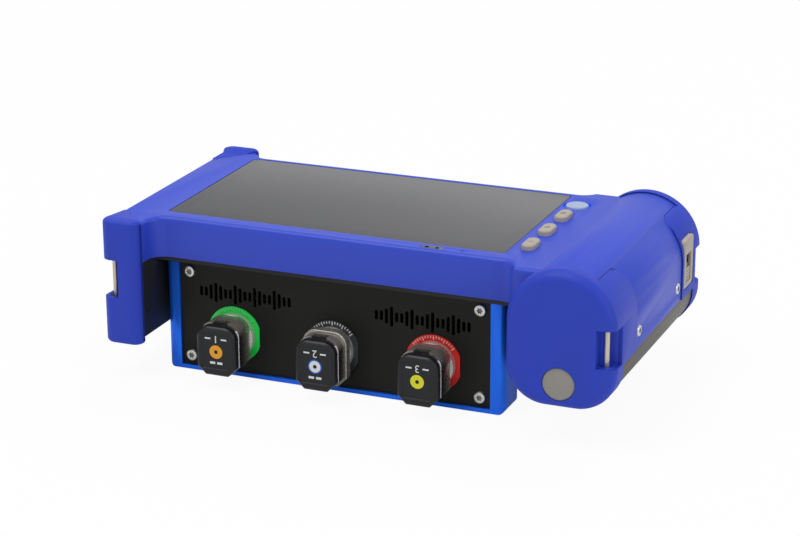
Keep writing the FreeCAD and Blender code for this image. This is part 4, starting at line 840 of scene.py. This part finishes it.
class TESTER_OT_ports(TesterOperator, bpy.types.Operator):
    """Dresses the label rings, adapters, barrels and flip covers, and prints the marks on them"""
    bl_idname = "tester.ports"
    bl_label = "Optical ports"

    def make(self, sizes):
        ports = (("otdr", "ring_green", "green_ink", "amber"),
                 ("power", "ring_slate", "white", "white"),
                 ("laser", "ring_red", "cream", "yellow"))
        for number, (name, ring, ink, spot) in enumerate(ports, 1):
            dressed("ring_" + name, ring, 0.0)
            dressed("adapter_" + name, "adapter_power" if name == "power" else "adapter", sizes.edge)
            dressed("flap_" + name, "caps", sizes.edge, f"flap_{name}_body")
            low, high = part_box("ring_" + name)
            centre = Vector(((low.x + high.x) / 2, low.y, (low.z + high.z) / 2))
            self.ring_marks(name, ink, centre, sizes.print_thickness)
            self.cap_prints(name, number, spot, centre.x, sizes)
        for node, material in (("adapter_nuts", "steel"), ("fc_barrels", "metal"),
                               ("laser_barrel", "metal"), ("ferrule_sleeves", "ceramic"),
                               ("hinge_pins", "steel")):
            repaint(node, material)

    def ring_marks(self, name, ink, centre, thick):
        """Ticks round the upper part of a label ring, every fourth one long."""
        ticks = []
        for step in range(-8, 9):
            turn = math.radians(6.2 * step)
            tall = 1.9 * MM if step % 4 == 0 else 1.1 * MM
            reach = TICK_REACH - tall / 2
            spot = centre + Vector((math.sin(turn) * reach, -thick / 2, math.cos(turn) * reach))
            ticks.append(bar(spot, (0.5 * MM, thick, tall), turn))
        finish_piece(gathered(ticks), f"ring_marks_{name}", ink, MAIN_BODY)

    def cap_prints(self, name, number, spot, across, sizes):
        """A numeral between two dashes, a spot with a centre, and on two covers two lower dashes."""
        thick = sizes.print_thickness
        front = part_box("flap_" + name)[0].y + CAP_SINK - thick / 2
        height = port_height()

        def at(up, aside=0.0):
            return Vector((across, front, 0)) + Vector((aside, 0, up))

        def put(shape, title, ink):
            finish_piece(shape, f"cap_{title}_{name}", ink, f"flap_{name}_body")

        top = at(height + 4.3 * MM)
        place = (Matrix.Translation(top) @ Matrix.Rotation(math.pi / 2, 4, "X")
                 @ Matrix.Rotation(math.pi, 4, "Z"))
        put(numeral(str(number), sizes.numeral, thick, place), "numeral", "white")
        dashes = [bar(top + Vector((side * 4.0 * MM, 0, 0)), (2.8 * MM, thick, 0.7 * MM))
                  for side in (-1, 1)]
        if name != "laser":
            dashes += [bar(at(height - 7.2 * MM, side * 1.8 * MM), (2.6 * MM, thick, 1.1 * MM))
                       for side in (-1, 1)]
        put(gathered(dashes), "dashes", "white")
        middle = at(height - 1.9 * MM)
        if name == "power":
            put(disc(middle, 2.7 * MM, thick), "disc", "white")
            put(hoop(middle, 2.7 * MM, 3.3 * MM, thick), "rim", "blue")
        else:
            put(disc(middle, 3.2 * MM, thick), "spot", spot)
        put(disc(middle - Vector((0, thick, 0)), 0.9 * MM, thick), "centre", "caps")


class TESTER_OT_inside(TesterOperator, bpy.types.Operator):
    """Gives the boards, the battery and the optics their finishes"""
    bl_idname = "tester.inside"
    bl_label = "Inner pieces"

    def make(self, sizes):
        for node in ("main_board", "key_board", "protection_board", "optics_board"):
            repaint(node, "board")
        for node, material in (("processor_shield", "steel"), ("battery_cells", "cells"),
                               ("cell_frames", "dark"), ("board_posts", "brass"),
                               ("optics_block", "aluminium"), ("photodiode_can", "aluminium"),
                               ("laser_tube", "brass"), ("fibre_spool", "spool")):
            repaint(node, material)


class TESTER_OT_stage(TesterOperator, bpy.types.Operator):
    """Sets the floor, the light and the camera"""
    bl_idname = "tester.stage"
    bl_label = "Stage"

    def make(self, sizes):
        scene = bpy.context.scene
        self.floor(scene)
        self.world(scene)
        self.lamps(scene)
        self.camera(scene, sizes)
        scene.view_settings.view_transform = "Standard"

    def floor(self, scene):
        """A pale floor just under the instrument."""
        shape = bmesh.new()
        bmesh.ops.create_grid(shape, x_segments=1, y_segments=1, size=6.0,
                              matrix=Matrix.Translation((0, 0, CAD_BOX[0][2] - 0.2 * MM)))
        mesh = bpy.data.meshes.new("floor")
        shape.to_mesh(mesh)
        shape.free()
        floor = bpy.data.objects.new("floor", mesh)
        scene.collection.objects.link(floor)
        mesh.materials.append(self.floor_finish())

    def floor_finish(self):
        """Pale grey under the lamps, almost white to the camera."""
        finish = Finish("studio_floor")
        finish.set(Base_Color=(0.86, 0.86, 0.86, 1), Roughness=0.7, Specular_IOR_Level=0.2)
        glow = finish.node("ShaderNodeEmission", Color=WHITE, Strength=1.0)
        path = finish.node("ShaderNodeLightPath")
        share = finish.rays(path, "Camera") * 0.94 + finish.rays(path, "Glossy") * 0.2
        blend = finish.node("ShaderNodeMixShader", _0=share, _1=finish.shader.outputs[0],
                            _2=glow.outputs[0])
        feed(finish.tree, finish.tree.nodes["Material Output"].inputs["Surface"], blend.outputs[0])
        return finish.material

    def world(self, scene):
        """A white surround: full strength to the camera, less as light."""
        world = bpy.data.worlds.new("studio")
        world.use_nodes = True
        scene.world = world
        nodes = Nodes(world.node_tree)
        path = nodes.node("ShaderNodeLightPath")
        white = nodes.rays(path, "Camera") + nodes.rays(path, "Transmission")
        background = nodes.tree.nodes["Background"]
        feed(nodes.tree, background.inputs["Color"], WHITE)
        level = white * 0.6 + nodes.rays(path, "Glossy") * 0.3 + 0.4
        feed(nodes.tree, background.inputs["Strength"], level)

    def lamps(self, scene):
        """Three soft round lamps. The glass doesn't mirror the one behind."""
        aim = Vector((0.0, 0.0, 0.04))
        for name, spot, size, power in (("key_light", (-0.4, -0.5, 1.6), 1.1, 15),
                                        ("fill_light", (1.5, -0.4, 0.8), 1.0, 5.5),
                                        ("back_light", (0.2, 1.2, 1.3), 1.2, 9)):
            lamp = bpy.data.lights.new(name, "AREA")
            lamp.shape = "DISK"
            lamp.size = size
            lamp.energy = power
            light = bpy.data.objects.new(name, lamp)
            light.location = spot
            light.rotation_euler = (aim - Vector(spot)).to_track_quat("-Z", "Y").to_euler()
            light.visible_glossy = name != "back_light"
            scene.collection.objects.link(light)

    def camera(self, scene, sizes):
        """A camera on a sphere round its target."""
        azimuth = math.radians(sizes.camera_azimuth)
        elevation = math.radians(sizes.camera_elevation)
        target = Vector(CAMERA_TARGET) * MM
        away = Vector((math.sin(azimuth) * math.cos(elevation), -math.cos(azimuth) * math.cos(elevation),
                       math.sin(elevation)))
        lens = bpy.data.cameras.new("camera")
        lens.lens = sizes.camera_lens
        lens.sensor_width = 36.0
        lens.clip_start = 0.01
        camera = bpy.data.objects.new("camera", lens)
        camera.location = target + away * sizes.camera_distance
        look = (-away).to_track_quat("-Z", "Y").to_matrix().to_4x4()
        roll = Matrix.Rotation(math.radians(sizes.camera_roll), 4, "Z")
        camera.rotation_euler = (look @ roll).to_euler()
        scene.collection.objects.link(camera)
        scene.camera = camera


OPERATORS = (TESTER_OT_finishes, TESTER_OT_casework, TESTER_OT_screen, TESTER_OT_keys, TESTER_OT_charging,
             TESTER_OT_module, TESTER_OT_ports, TESTER_OT_inside, TESTER_OT_stage)


class TESTER_PT_panel(bpy.types.Panel):
    """Lists the pieces of the tester"""
    bl_idname = "TESTER_PT_panel"
    bl_label = "Fibre tester"
    bl_space_type = "VIEW_3D"
    bl_region_type = "UI"
    bl_category = "Fibre tester"

    def draw(self, context):
        for kind in OPERATORS:
            self.layout.operator(kind.bl_idname)
        for group in (context.scene.tester_sizes, context.scene.tester_colours):
            box = self.layout.box()
            for name in group.bl_rna.properties.keys():
                if name not in ("rna_type", "name"):
                    box.prop(group, name)


CLASSES = (TesterColours, TesterSizes, *OPERATORS, TESTER_PT_panel)


def register():
    for kind in CLASSES:
        bpy.utils.register_class(kind)
    bpy.types.Scene.tester_colours = PointerProperty(type=TesterColours)
    bpy.types.Scene.tester_sizes = PointerProperty(type=TesterSizes)


def unregister():
    del bpy.types.Scene.tester_sizes
    del bpy.types.Scene.tester_colours
    for kind in reversed(CLASSES):
        bpy.utils.unregister_class(kind)


def main():
    """Builds the dressed model."""
    register()
    for kind in OPERATORS:
        group, name = kind.bl_idname.split(".")
        getattr(getattr(bpy.ops, group), name)()


if __name__ == "__main__":
    main()
